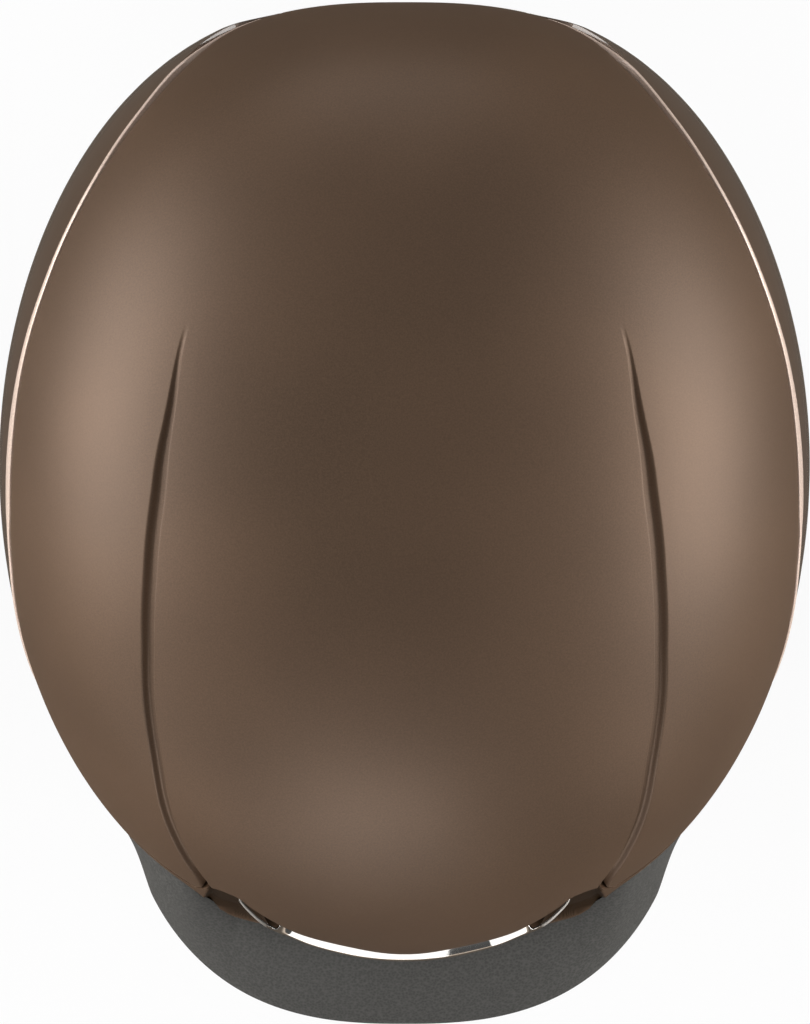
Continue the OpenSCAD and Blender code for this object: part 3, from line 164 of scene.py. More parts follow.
class Line:
    """Smooth curve through key points that never swings past them, flat beyond its ends."""

    def __init__(self, *keys: tuple[float, float]) -> None:
        """Stores the keys and works out the slope at each.

        Args:
            keys: Pairs of place and value, in rising order of place.
        """
        self.x = np.array([k[0] for k in keys], float)
        self.y = np.array([k[1] for k in keys], float)
        step = np.diff(self.y) / np.diff(self.x)
        self.slope = np.zeros(len(self.x))
        left, right = step[:-1], step[1:]
        same = left * right > 0
        total = np.where(same, left + right, 1.0)
        self.slope[1:-1] = np.where(same, 2 * left * right / total, 0.0)

    def __call__(self, x: Number) -> Array:
        """Value of the curve at each x."""
        x = np.clip(np.asarray(x, float), self.x[0], self.x[-1])
        i = np.clip(np.searchsorted(self.x, x, side="right") - 1, 0, len(self.x) - 2)
        h = self.x[i + 1] - self.x[i]
        t = (x - self.x[i]) / h
        return (
            (2 * t**3 - 3 * t**2 + 1) * self.y[i]
            + (t**3 - 2 * t**2 + t) * h * self.slope[i]
            + (3 * t**2 - 2 * t**3) * self.y[i + 1]
            + (t**3 - t**2) * h * self.slope[i + 1]
        )


# The form of the shell


@dataclass(frozen=True)
class ShellForm:
    """The rule that gives every point of the outer surface, and the lines that cut it into pieces.

    A point lies at an azimuth from the peak, an elevation and a depth below the surface. Elevations
    from -90 to 0 run from the rim plane up to the widest line, and from 0 to 90 up to the crown.
    """

    half_width: float = 111.0
    front_length: float = 133.0
    rear_length: float = 127.5
    belt_height: float = 62.0
    dome_height: float = 96.0
    rim_tuck: float = 7.0
    brow_rise: float = 24.0
    wall: float = 3.0
    seam_gap: float = 0.5
    least_slant: float = 0.25
    crease_depth: float = 1.7
    crease_half: float = 1.85
    crease_sides: tuple[float, float] = (0.8, 1.15)
    crease_power: int = 6
    rear_step: float = 1.2
    step_from: float = 125.0
    step_below: float = 42.0
    step_run: float = 30.0
    lip_flare: float = 1.4
    lip_rise: float = 7.0
    lip_half: float = 5.6
    strip_width: float = 4.6
    strip_wall: float = 1.4
    edging_height: float = 3.0
    edging_width: float = 8.0
    edging_over: float = 0.6
    shell_lift: float = 0.5
    crown_back: float = 4.0
    rounding: float = 0.6
    width_powers: tuple[float, float] = (2.2, 2.7)
    length_powers: tuple[float, float] = (2.05, 1.9)
    dome_powers: tuple[float, float] = (2.15, 2.25)
    outlet: tuple[float, float, float] = (46.0, 16.0, 39.0)
    cover_start: float = 52.4
    cover_tail: float = 167.6
    tail_taper: float = 8.0
    tail_sweep: float = 7.0
    rise_end: float = 60.0
    rise_run: float = 40.0
    seam: Line = Line(
        (48, -96), (52, -74), (56, -46), (60, -21), (62, -11.2), (64, -2.6), (64.75, 0), (66, 1.5),
        (70, 5.8), (74, 9.6), (78, 13), (90, 17.6), (104, 20.6), (116, 23), (128, 23.8), (140, 22.3),
        (150, 18), (158, 11.5), (164, 7.8), (170, 6.2), (180, 5.5))
    crown_edge: Line = Line(
        (0, 4), (5, 4.8), (9, 6.2), (13.2, 8.4), (16.5, 11.6), (20.2, 14.7), (23.2, 16.9), (25.3, 16.2),
        (27.3, 14.2), (29, 9.5), (34, 7.4), (40, 4.5), (52, -1.5), (64, -5.5), (70, -8))
    brow_top: Line = Line((0, -0.6), (14, -0.3), (16.5, 2.4), (19, 8), (22, 14), (25, 18), (34, 20))
    crease_line: Line = Line(
        (20, -24), (26.4, 8), (27.3, 12.6), (28.6, 16), (31, 19.4), (37, 27.4), (43.5, 36), (51, 42.8),
        (58.5, 48.3), (70.5, 54), (84.5, 57.8), (101, 59.3), (114, 58.6), (135, 57), (180, 55))
    crease_share: Line = Line(
        (24, 1.5), (27.5, 1.4), (31, 1), (78, 1), (98, 0.7), (112, 0.15), (118, 0), (180, 0))
    crease_width: Line = Line(
        (22, 0.85), (40, 0.95), (60, 1), (78, 1), (98, 0.6), (116, 0.3), (180, 0.3))
    strip_share: Line = Line(
        (52, 0.3), (79, 0.3), (81, 0.36), (84, 0.96), (90, 1), (104, 0.66), (128, 0.36), (156, 0.22),
        (161, 0.12), (180, 0.12))

    def at(self, a: Number, e: Number, d: Number = 0.0) -> Array:
        """Point of the surface.

        Args:
            a: Azimuth from the peak in degrees, positive to the wearer's left.
            e: Elevation in degrees.
            d: Depth below the surface.

        Returns:
            Points, with x, y and z along the last axis.
        """
        a, e, d = np.broadcast_arrays(np.asarray(a, float), np.asarray(e, float), np.asarray(d, float))
        turn, up = np.radians(a), np.radians(np.clip(e, 0, 90))
        down = below_belt(e)
        high = np.sin(up) ** (2 / self.dome_powers[0])
        out = np.maximum(np.cos(up), 0) ** (2 / self.dome_powers[1])
        out = out * (1 - self.rim_tuck / self.half_width * down**2)
        cosine, sine = np.cos(turn), np.sin(turn)
        back = (1 - cosine) / 2
        q = mix(mix(*self.width_powers, back), 2.0, high * self.rounding)
        p = mix(mix(*self.length_powers, back), 2.0, high * self.rounding)
        length = np.where(cosine > 0, self.front_length, self.rear_length)
        x = out * (self.half_width - d) * signed_power(sine, 2 / q)
        y = -out * (length - d) * signed_power(cosine, 2 / p) + self.crown_back * high
        z = self.belt_height * (1 - down) + (self.dome_height - d) * high
        return np.stack([x, y, z], -1)

    def side(self, a: Number) -> Array:
        """Azimuth from the peak without its side."""
        a = (np.abs(np.asarray(a, float)) + 180) % 360 - 180
        return np.abs(a)

    def mm_per_degree(self, a: Number, e: Number) -> Array:
        """Millimetres along the surface for one degree of elevation."""
        return np.linalg.norm(self.at(a, e + 0.5) - self.at(a, e - 0.5), axis=-1)

    def across_seam(self, b: Number, width: Number) -> Array:
        """Elevation that a band of this width takes up across the seam at azimuth b."""
        along = self.at(b + 0.5, self.seam(b + 0.5)) - self.at(b - 0.5, self.seam(b - 0.5))
        up = self.at(b, self.seam(b) + 0.5) - self.at(b, self.seam(b) - 0.5)
        slant = np.linalg.norm(np.cross(unit(along), unit(up)), axis=-1)
        return width / (np.linalg.norm(up, axis=-1) * np.maximum(slant, self.least_slant))

    def rim_z(self, a: Number) -> Array:
        """Height of the rim, which rises over the brow."""
        return self.brow_rise * smooth((self.rise_end - self.side(a)) / self.rise_run)

    def elevation_of(self, z: Number) -> Array:
        """Elevation of a height under the widest line."""
        return -90 * (1 - np.asarray(z, float) / self.belt_height)

    def rim(self, a: Number, lift: float) -> Array:
        """Elevation at this lift above the rim."""
        return self.elevation_of(self.rim_z(a) + lift)

    def strip_half(self, b: Number) -> Array:
        """Half the width of the accent strip."""
        return self.strip_width * self.strip_share(b) / 2

    def crease(self, a: Number, e: Number) -> Array:
        """Depth of the crease."""
        b = self.side(a)
        line = self.crease_line(b)
        along = np.linalg.norm(self.at(b + 0.5, line) - self.at(b - 0.5, line), axis=-1)
        scale = self.mm_per_degree(b, e)
        slope = (self.crease_line(b + 0.25) - self.crease_line(b - 0.25)) * 2 * scale / along
        away = (e - line) * scale / np.sqrt(1 + slope**2)
        width = self.crease_half * self.crease_width(b) * np.where(away > 0, *self.crease_sides)
        return self.crease_depth * self.crease_share(b) * np.exp(-np.abs(away / width) ** self.crease_power)

    def crown_form(self, a: Number, e: Number) -> Array:
        """Depth of the crown: out at the front lip, in beside the covers at the back."""
        b = self.side(a)
        run = self.step_run
        back = self.rear_step * smooth((b - self.step_from) / run) * smooth((self.step_below - e) / run)
        lip = self.lip_flare * bell((e - self.crown_edge(b)) / self.lip_rise) * bell(b / self.lip_half)
        return back - lip

    def crown_low(self, a: Number) -> Array:
        """Elevation of the lower edge of the crown shell."""
        b = self.side(a)
        seam = self.seam(b) + self.across_seam(b, self.strip_half(b) + self.seam_gap)
        return np.maximum(self.crown_edge(b), np.where(b < self.cover_start, -90.0, seam))

    def cover_top(self, b: Number) -> Array:
        """Elevation of the upper edge of a side cover."""
        return self.seam(b) - self.across_seam(b, self.strip_half(b) + self.seam_gap)


FORM = ShellForm()


# Meshes


@dataclass
class Solid:
    """Points in millimetres and faces that point outwards, with an optional pattern place."""

    points: Array
    faces: list[tuple[int, ...]]
    pattern: Optional[Array] = None

    def mirrored(self) -> "Solid":
        """The same solid for the other side of the helmet."""
        return Solid(self.points * MIRROR, [f[::-1] for f in self.faces], self.pattern)


def joined(parts: Sequence[Solid]) -> Solid:
    """One solid that holds all the parts, not fused."""
    starts = np.cumsum([0] + [len(part.points) for part in parts]).tolist()
    faces = [tuple(v + start for v in f) for part, start in zip(parts, starts) for f in part.faces]
    return Solid(np.vstack([part.points for part in parts]), faces)


def wall(outer: Array, inner: Array, wrap: bool = False, poles: Sequence[Array] = ()) -> Solid:
    """Closed wall between an outer and an inner net of points.

    Args:
        outer: Points as [column, row, 3]; columns run right and rows up, seen from outside.
        inner: The same for the inner side. Its rows may be fewer where the wall wraps and has poles.
        wrap: Whether the last column joins the first.
        poles: The outer and the inner point that close the top.

    Returns:
        The closed solid.
    """
    n, m, k = outer.shape[0], outer.shape[1], inner.shape[1]
    points = [outer.reshape(-1, 3), inner.reshape(-1, 3)]
    i = np.arange(n if wrap else n - 1)
    j = (i + 1) % n
    start = n * m

    def o(c: Array, r: Array) -> Array:
        """Indices of the outer net."""
        return c * m + r

    def q(c: Array, r: Array) -> Array:
        """Indices of the inner net."""
        return start + c * k + r

    def quads(*corners: Array) -> list[tuple[int, ...]]:
        """Faces from four arrays of corners."""
        columns = [np.ravel(c) for c in np.broadcast_arrays(*corners)]
        return [tuple(f) for f in np.stack(columns, -1).tolist()]

    ci, ri = np.meshgrid(i, np.arange(m - 1), indexing="ij")
    cj = (ci + 1) % n
    faces = quads(o(ci, ri), o(cj, ri), o(cj, ri + 1), o(ci, ri + 1))
    di, si = np.meshgrid(i, np.arange(k - 1), indexing="ij")
    dj = (di + 1) % n
    faces += quads(q(di, si), q(di, si + 1), q(dj, si + 1), q(dj, si))
    faces += quads(o(j, 0), o(i, 0), q(i, 0), q(j, 0))
    if len(poles) == 2:
        points += [np.reshape(p, (1, 3)) for p in poles]
        top = start + n * k
        faces += quads(o(i, m - 1), o(j, m - 1), np.full_like(i, top))
        faces += quads(q(j, k - 1), q(i, k - 1), np.full_like(i, top + 1))
    else:
        faces += quads(o(i, m - 1), o(j, m - 1), q(j, k - 1), q(i, k - 1))
    if not wrap:
        r = np.arange(m - 1)
        last = np.full_like(r, n - 1)
        first = np.zeros_like(r)
        faces += quads(o(first, r), o(first, r + 1), q(first, r + 1), q(first, r))
        faces += quads(o(last, r + 1), o(last, r), q(last, r), q(last, r + 1))
    return Solid(np.vstack(points), faces)


def tube(path: Array, rings: Array, closed: bool = False) -> Solid:
    """Solid through one ring of points after another.

    Args:
        path: Middle point of each ring, used to find which way the rings face.
        rings: Points as [ring, point, 3].
        closed: Whether the last ring joins the first.

    Returns:
        The solid, closed by flat ends unless it joins itself.
    """
    n, m = rings.shape[:2]
    ahead = path[1] - path[0]
    spin = np.cross(rings[0, 0] - path[0], rings[0, 1] - path[0]) @ ahead
    rings = rings if spin > 0 else rings[:, ::-1]
    faces = []
    for i in range(n if closed else n - 1):
        k = (i + 1) % n
        for j in range(m):
            w = (j + 1) % m
            faces.append((i * m + j, i * m + w, k * m + w, k * m + j))
    if not closed:
        faces.append(tuple(range(m - 1, -1, -1)))
        faces.append(tuple((n - 1) * m + j for j in range(m)))
    return Solid(rings.reshape(-1, 3), faces)


class Edge(Enum):
    """How far the edges of a piece are rounded, in millimetres."""

    HAIR = 0.08
    FINE = 0.2
    SOFT = 0.45
    FULL = 0.9


def mesh_object(name: str, solid: Solid, flat_above: float = 40.0) -> Object:
    """A mesh object at the origin with its place in its mesh.

    Args:
        name: Name of the piece.
        solid: Its points and faces.
        flat_above: Edges that turn by more than this many degrees are shaded as corners.

    Returns:
        The linked object.
    """
    mesh = bpy.data.meshes.new(name)
    mesh.from_pydata((solid.points * MM).tolist(), [], solid.faces)
    mesh.validate()
    obj = link_mesh(name, mesh, flat_above)
    if solid.pattern is not None:
        lay_pattern(obj, solid.pattern)
    return obj


def link_mesh(name: str, mesh: bpy.types.Mesh, flat_above: float) -> Object:
    """Links an object that holds a mesh, shaded smooth up to this many degrees."""
    mesh.polygons.foreach_set("use_smooth", np.ones(len(mesh.polygons), bool))
    mesh.set_sharp_from_angle(angle=math.radians(flat_above))
    obj = bpy.data.objects.new(name, mesh)
    bpy.context.scene.collection.objects.link(obj)
    return obj


def lay_pattern(obj: Object, place: Array) -> None:
    """Lays a flat pattern on a mesh, with its place in millimetres at each point."""
    mesh = obj.data
    corners = np.zeros(len(mesh.loops), np.int32)
    mesh.loops.foreach_get("vertex_index", corners)
    layer = mesh.uv_layers.get("pattern") or mesh.uv_layers.new(name="pattern")
    layer.data.foreach_set("uv", place[corners].astype(np.float32).ravel())


def set_values(obj: Object, name: str, values: Array) -> None:
    """Keeps a named value or direction at each point of a mesh."""
    kind, key = ("FLOAT", "value") if values.ndim == 1 else ("FLOAT_VECTOR", "vector")
    layer = obj.data.attributes.new(name, kind, "POINT")
    layer.data.foreach_set(key, values.astype(np.float32).ravel())


def read_points(obj: Object) -> Array:
    """Points of a mesh in millimetres."""
    points = np.zeros(len(obj.data.vertices) * 3)
    obj.data.vertices.foreach_get("co", points)
    return points.reshape(-1, 3) / MM


def write_points(obj: Object, points: Array) -> None:
    """Moves the points of a mesh, in millimetres."""
    obj.data.vertices.foreach_set("co", (points * MM).ravel())
    obj.data.update()


def round_edges(obj: Object, edge: Edge, segments: int = 2, angle: float = 50.0) -> None:
    """Rounds the corners of a piece.

    Args:
        obj: The piece.
        edge: How far its edges are rounded.
        segments: Faces across the rounding.
        angle: Only edges that turn by more than this many degrees are rounded.
    """
    mod = obj.modifiers.new("rounded edges", "BEVEL")
    mod.width = edge.value * MM
    mod.segments = segments
    mod.limit_method = "ANGLE"
    mod.angle_limit = math.radians(angle)


# Shader graphs


def maths(operation: str, reflected: bool = False) -> Callable[..., "Wire"]:
    """A method of Wire that adds one Math node.

    Args:
        operation: What the node works out.
        reflected: Whether the wire itself comes last.

    Returns:
        The method.
    """

    def method(wire: "Wire", *others: Any) -> "Wire":
        """Adds the node."""
        terms = (*others, wire) if reflected else (wire, *others)
        return wire.graph.node("ShaderNodeMath", {"operation": operation}, dict(enumerate(terms)))

    return method


@dataclass
class Wire:
    """A value, colour or shader socket of a graph, with arithmetic that adds Math nodes."""

    graph: "Nodes"
    socket: bpy.types.NodeSocket

    __add__ = maths("ADD")
    __sub__ = maths("SUBTRACT")
    __rsub__ = maths("SUBTRACT", True)
    __mul__ = maths("MULTIPLY")
    __truediv__ = maths("DIVIDE")
    __pow__ = maths("POWER")
    size = maths("ABSOLUTE")
    least = maths("MINIMUM")
    part = maths("FRACT")
    floor = maths("FLOOR")

    def step(self, low: float, high: float, start: float = 0.0, end: float = 1.0) -> "Wire":
        """Soft step from start at low to end at high."""
        return self.graph.node(
            "ShaderNodeMapRange",
            {"interpolation_type": "SMOOTHSTEP"},
            {"Value": self, "From Min": low, "From Max": high, "To Min": start, "To Max": end},
        )


class Nodes:
    """A tree of nodes, with short ways to add and link them."""

    def __init__(self, tree: bpy.types.NodeTree) -> None:
        """Starts with an empty tree."""
        self.tree = tree
        self.tree.nodes.clear()

    def feed(self, target: bpy.types.NodeSocket, value: Any) -> None:
        """Links a wire to a socket, or sets a plain value on it."""
        if isinstance(value, Wire):
            self.tree.links.new(value.socket, target)
        else:
            target.default_value = value

    def node(self, kind: str, settings: Optional[dict[str, Any]] = None,
             values: Optional[dict[Any, Any]] = None, output: Union[str, int] = 0) -> Wire:
        """Adds a node.

        Args:
            kind: The node's type.
            settings: Its properties, set first; "stops" holds a ramp's places and colours.
            values: Values or wires for its inputs, by name or number.
            output: The output that is returned.

        Returns:
            The wire of that output.
        """
        node = self.tree.nodes.new(kind)
        for key, value in (settings or {}).items():
            if key == "stops":
                ramp = node.color_ramp
                while len(ramp.elements) < len(value):
                    ramp.elements.new(0.5)
                for element, (place, colour) in zip(ramp.elements, value):
                    element.position = place
                    element.color = colour
            else:
                setattr(node, key, value)
        for key, value in (values or {}).items():
            self.feed(node.inputs[key], value)
        return Wire(self, node.outputs[output])


class Graph(Nodes):
    """The nodes of a world, or of a material around one Principled shader."""

    def __init__(self, name: str, world: bool = False) -> None:
        """Starts a world, or a material that holds a shader and its output.

        Args:
            name: Name of the world or the material.
            world: Whether it is a world.
        """
        self.owner = (bpy.data.worlds if world else bpy.data.materials).new(name)
        self.owner.use_nodes = True
        super().__init__(self.owner.node_tree)
        if not world:
            self.shader = self.tree.nodes.new("ShaderNodeBsdfPrincipled")
        kind = "ShaderNodeOutputWorld" if world else "ShaderNodeOutputMaterial"
        self.surface = self.tree.nodes.new(kind).inputs["Surface"]
        if not world:
            self.tree.links.new(self.shader.outputs[0], self.surface)

    def place(self) -> Wire:
        """Object coordinates in metres."""
        return self.node("ShaderNodeTexCoord", output="Object")

    def pattern(self) -> tuple[Wire, Wire]:
        """The piece's own pattern place, in millimetres across and along."""
        uv = self.node("ShaderNodeUVMap", {"uv_map": "pattern"})
        split = self.tree.nodes.new("ShaderNodeSeparateXYZ")
        self.feed(split.inputs[0], uv)
        return Wire(self, split.outputs[0]), Wire(self, split.outputs[1])

    def value_of(self, name: str) -> Wire:
        """The value that a mesh keeps at its points under this name."""
        return self.node("ShaderNodeAttribute", {"attribute_name": name}, output="Fac")

    def noise(self, size: float, detail: float = 2.0, rough: float = 0.5) -> Wire:
        """Noise whose features are about this many millimetres wide."""
        return self.node("ShaderNodeTexNoise", {"noise_dimensions": "3D"},
                         {"Vector": self.place(), "Scale": 1 / (size * MM),
                          "Detail": detail, "Roughness": rough})

    def cells(self, size: float, feature: str = "F1", output: str = "Distance") -> Wire:
        """Cells about this many millimetres wide."""
        return self.node("ShaderNodeTexVoronoi", {"feature": feature},
                         {"Vector": self.place(), "Scale": 1 / (size * MM)}, output)

    def blend(self, factor: Any, a: Any, b: Any) -> Wire:
        """Mix of two colours."""
        node = self.tree.nodes.new("ShaderNodeMix")
        node.data_type = "RGBA"
        self.feed(node.inputs[0], factor)
        self.feed(node.inputs[6], a)
        self.feed(node.inputs[7], b)
        return Wire(self, node.outputs[2])

    def bump(self, height: Wire, depth: float) -> Wire:
        """Normal of a surface whose relief is this many millimetres deep."""
        return self.node("ShaderNodeBump", None,
                         {"Height": height, "Distance": depth * MM, "Strength": 1.0})

    def finish(self, **sockets: Any) -> bpy.types.Material:
        """Feeds the shader's sockets and returns the material.

        Args:
            sockets: Values or wires by socket name, with underscores for spaces.

        Returns:
            The finished material.
        """
        for key, value in sockets.items():
            self.feed(self.shader.inputs[key.replace("_", " ")], value)
        return self.owner


# Finishes


@dataclass(frozen=True)
class Finish:
    """What every finish has: a name and a colour from 0 to 255."""

    name: str
    colour: Colour

    def shade(self, share: Union[float, Colour] = 1.0, lift: float = 0.0) -> tuple[float, ...]:
        """The colour, multiplied by a share and lifted."""
        return tone(self.colour, share, lift)

    def material(self) -> bpy.types.Material:
        """Builds the material."""
        raise NotImplementedError


@dataclass(frozen=True)
class Lacquer(Finish):
    """Lacquer on a moulded shell, with a fine grain and a little unevenness, and painted shade where a mesh
    marks it.
    """

    roughness: float = 0.45
    coat: float = 0.0
    coat_roughness: float = 0.04
    flake: float = 0.0
    grain: float = 0.45
    grain_depth: float = 0.012
    ripple: float = 4.0
    ripple_depth: float = 0.006
    shine: float = 0.5
    # Painted shade: the mesh value that marks where the colour is darkened, and the share it is darkened by
    shaded_part: str = ""
    shaded_share: Colour = (0.26, 0.22, 0.14)
    blotch: float = 55.0
    contrast: float = 0.2
    spread: float = 0.08

    def material(self) -> bpy.types.Material:
        """Builds the lacquer."""
        g = Graph(self.name)
        fine, broad = g.noise(self.grain, 3.0, 0.6), g.noise(self.blotch, 1.0)
        share = fine.step(0.25, 0.75) * 0.6 + broad.step(0.3, 0.7) * 0.4
        colour = g.blend(share, self.shade(1 - self.contrast), self.shade(1 + self.contrast, 0.002))
        # Painted shade: darkens the colour where the mesh marks a shaded recess
        if self.shaded_part:
            colour = g.blend(g.value_of(self.shaded_part), colour, self.shade(self.shaded_share))
        depth = self.grain_depth + self.ripple_depth
        height = fine * (self.grain_depth / depth)
        height = height + g.noise(self.ripple, 1.0) * (self.ripple_depth / depth)
        return g.finish(
            Base_Color=colour,
            Roughness=fine * self.spread + (self.roughness - self.spread / 2),
            Coat_Weight=self.coat,
            Coat_Roughness=self.coat_roughness,
            Specular_IOR_Level=self.shine,
            Metallic=self.flake,
            Normal=g.bump(height, depth),
        )


@dataclass(frozen=True)
class Metal(Finish):
    """Metal, from mirror plating to brushed steel."""

    roughness: float
    wear: float = 0.04
    scratch: float = 0.0
    rubbed_part: str = ""
    rubbed: float = 0.4
    stain_size: float = 9.0
    stain_share: float = 0.86
    scratch_size: float = 0.5

    def material(self) -> bpy.types.Material:
        """Builds the metal."""
        g = Graph(self.name)
        stain, fine = g.noise(self.stain_size, 3.0, 0.6), g.noise(self.scratch_size, 2.0)
        rough = stain * self.wear + fine * self.scratch + self.roughness
        if self.rubbed_part:
            rough = rough + g.value_of(self.rubbed_part) * self.rubbed
        return g.finish(
            Base_Color=g.blend(stain.step(0.3, 0.8), self.shade(), self.shade(self.stain_share)),
            Metallic=1.0,
            Roughness=rough,
            Normal=g.bump(fine, 0.002 + self.scratch * 0.02),
        )


@dataclass(frozen=True)
class Moulded(Finish):
    """Moulded plastic or rubber with an eroded grain."""

    roughness: float = 0.55
    grain: float = 0.7
    grain_depth: float = 0.03
    contrast: float = 0.12
    worn_size: float = 24.0

    def material(self) -> bpy.types.Material:
        """Builds the plastic."""
        g = Graph(self.name)
        pits = g.cells(self.grain)
        fine, worn = g.noise(self.grain * 0.6, 3.0, 0.65), g.noise(self.worn_size, 2.0)
        height = pits * 0.5 + fine * 0.5
        dark, light = self.shade(1 - self.contrast), self.shade(1 + self.contrast, 0.004)
        return g.finish(
            Base_Color=g.blend(height.step(0.2, 0.8), dark, light),
            Roughness=worn * 0.1 + fine * 0.08 + (self.roughness - 0.09),
            Normal=g.bump(height, self.grain_depth),
        )


@dataclass(frozen=True)
class BeadFoam(Finish):
    """Foam of fused beads, with the outlines of the beads."""

    bead: float = 3.2
    joint: float = 0.12
    shades: tuple[float, float, float] = (0.45, 0.75, 1.35)

    def material(self) -> bpy.types.Material:
        """Builds the foam."""
        g = Graph(self.name)
        away = g.cells(self.bead, "DISTANCE_TO_EDGE")
        lot = g.node("ShaderNodeSeparateColor", None, {0: g.cells(self.bead, "F1", "Color")})
        deep, dark, light = self.shades
        body = g.blend(lot, self.shade(dark), self.shade(light, 0.004))
        groove = away.step(0.0, self.joint)
        return g.finish(
            Base_Color=g.blend(groove, self.shade(deep), body),
            Roughness=g.noise(1.2, 2.0) * 0.15 + 0.6,
            Normal=g.bump(groove, self.joint),
        )


@dataclass(frozen=True)
class KnitCloth(Finish):
    """Spacer knit over foam: rows of small holes in a soft cloth."""

    pitch: float = 2.2
    row_share: float = 0.86
    hole: tuple[float, float] = (0.16, 0.3)
    depth: float = 0.35
    sheen: float = 0.35
    sheen_roughness: float = 0.45

    def material(self) -> bpy.types.Material:
        """Builds the cloth."""
        g = Graph(self.name)
        across, along = g.pattern()
        rows = along / (self.pitch * self.row_share)
        shift = (rows.floor() * 0.5).part()
        u = (across / self.pitch + shift).part() - 0.5
        v = rows.part() - 0.5
        hole = 1 - ((u * u + v * v) ** 0.5).step(*self.hole)
        rib = ((across / (self.pitch * 0.5)).part() - 0.5).size() * 2
        yarn = g.noise(0.5, 3.0, 0.7)
        body = g.blend(yarn.step(0.25, 0.75), self.shade(), self.shade(1.4, 0.006))
        return g.finish(
            Base_Color=g.blend(hole, body, self.shade(0.3)),
            Roughness=yarn * 0.1 + 0.82,
            Sheen_Weight=self.sheen,
            Sheen_Roughness=self.sheen_roughness,
            Normal=g.bump((1 - hole) * 0.75 + rib * 0.1 + yarn * 0.15, self.depth),
        )


@dataclass(frozen=True)
class Webbing(Finish):
    """Woven strap with a herringbone and firm edges."""

    width: float
    rib: float = 1.5
    weft: float = 0.62
    edge: float = 1.3
    depth: float = 0.22
    sheen: float = 0.2

    def material(self) -> bpy.types.Material:
        """Builds the webbing."""
        g = Graph(self.name)
        across, along = g.pattern()
        panel = ((across / (self.width / 4)).part() - 0.5).size() * (self.width / 2)
        twill = ((along + panel) / self.rib).part()
        thread = ((twill - 0.5).size() * 2) ** 1.5
        weft = ((along / self.weft).part() - 0.5).size() * 2
        edge = (across.size() - (self.width / 2 - self.edge)).step(0.0, 0.5)
        yarn = g.noise(0.35, 2.0, 0.6)
        height = (1 - thread) * (1 - edge) * 0.8 + edge * weft * 0.6 + yarn * 0.2
        return g.finish(
            Base_Color=g.blend(height.step(0.15, 0.9), self.shade(0.55), self.shade(1.7, 0.01)),
            Roughness=yarn * 0.12 + 0.68,
            Sheen_Weight=self.sheen,
            Normal=g.bump(height, self.depth),
        )


@dataclass(frozen=True)
class Flock(Finish):
    """Short flocked fibres."""

    fibre: float = 0.3
    nap: float = 14.0
    depth: float = 0.12
    sheen: float = 0.5

    def material(self) -> bpy.types.Material:
        """Builds the flock."""
        g = Graph(self.name)
        fibre, nap = g.noise(self.fibre, 4.0, 0.75), g.noise(self.nap, 2.0)
        share = fibre.step(0.3, 0.7) * 0.7 + nap * 0.3
        return g.finish(
            Base_Color=g.blend(share, self.shade(0.8), self.shade(1.5, 0.006)),
            Roughness=fibre * 0.1 + 0.88,
            Sheen_Weight=self.sheen,
            Normal=g.bump(fibre, self.depth),
        )


MADE: dict[Finish, bpy.types.Material] = {}


def dress(obj: Object, finish: Finish) -> None:
    """Gives an object one finish, made once and shared."""
    if finish not in MADE:
        MADE[finish] = finish.material()
    obj.data.materials.clear()
    obj.data.materials.append(MADE[finish])


MATTE_LACQUER = Lacquer("matte_lacquer", (98, 76, 58), 0.5, flake=0.4)
# The brow's lacquer carries painted shade in the scoops beside the vent
BROW_LACQUER = Lacquer("brow_lacquer", (98, 76, 58), 0.5, flake=0.4, shine=0.25, shaded_part="scoop")
GLOSS_LACQUER = Lacquer("gloss_lacquer", (94, 74, 58), 0.32, 1.0, 0.03, 0.3, 0.45, 0.006, 6.0, 0.004)
SATIN_STRIP = Lacquer("satin_strip", (222, 198, 182), 0.38, 0.3, 0.12, 0.2, 0.5, 0.004, 5.0, 0.003)
BAR_PLATING = Metal("bar_plating", (232, 230, 226), 0.045, 0.03, rubbed_part="rubbed")
ZINC_STEEL = Metal("zinc_steel", (168, 168, 170), 0.24, 0.1, 0.12)
SPRING_STEEL = Metal("spring_steel", (150, 150, 154), 0.3, 0.08, 0.2)
GRILLE_NYLON = Moulded("grille_nylon", (26, 26, 27), 0.6, 0.6, 0.02)
PEAK_SKIN = Moulded("peak_skin", (64, 63, 60), 0.75, 0.8, 0.09, 0.3)
SATIN_NYLON = Moulded("satin_nylon", (38, 38, 41), 0.42, 0.55, 0.015)
SOFT_GREY_NYLON = Moulded("soft_grey_nylon", (62, 62, 66), 0.46, 0.55, 0.015)
EDGING_RUBBER = Moulded("edging_rubber", (34, 34, 35), 0.62, 0.5, 0.02)
DIAL_RUBBER = Moulded("dial_rubber", (32, 32, 34), 0.7, 0.6, 0.03)
RED_NYLON = Moulded("red_nylon", (168, 44, 36), 0.4, 0.6, 0.015, 0.06)
NATURAL_ACETAL = Moulded("natural_acetal", (208, 204, 192), 0.38, 0.6, 0.008, 0.04)
BLACK_FOAM = BeadFoam("black_foam", (54, 54, 58))
PAD_THREAD = Moulded("pad_thread", (128, 128, 132), 0.7, 0.4, 0.01)
STRAP_THREAD = Moulded("strap_thread", (92, 92, 96), 0.7, 0.4, 0.01)
PAD_KNIT = KnitCloth("pad_knit", (72, 72, 78))
PEAK_FLOCK = Flock("peak_flock", (40, 40, 42))
HARNESS_WEB = Webbing("harness_web", (44, 44, 47), 17.0)


# Pieces and sub-assemblies


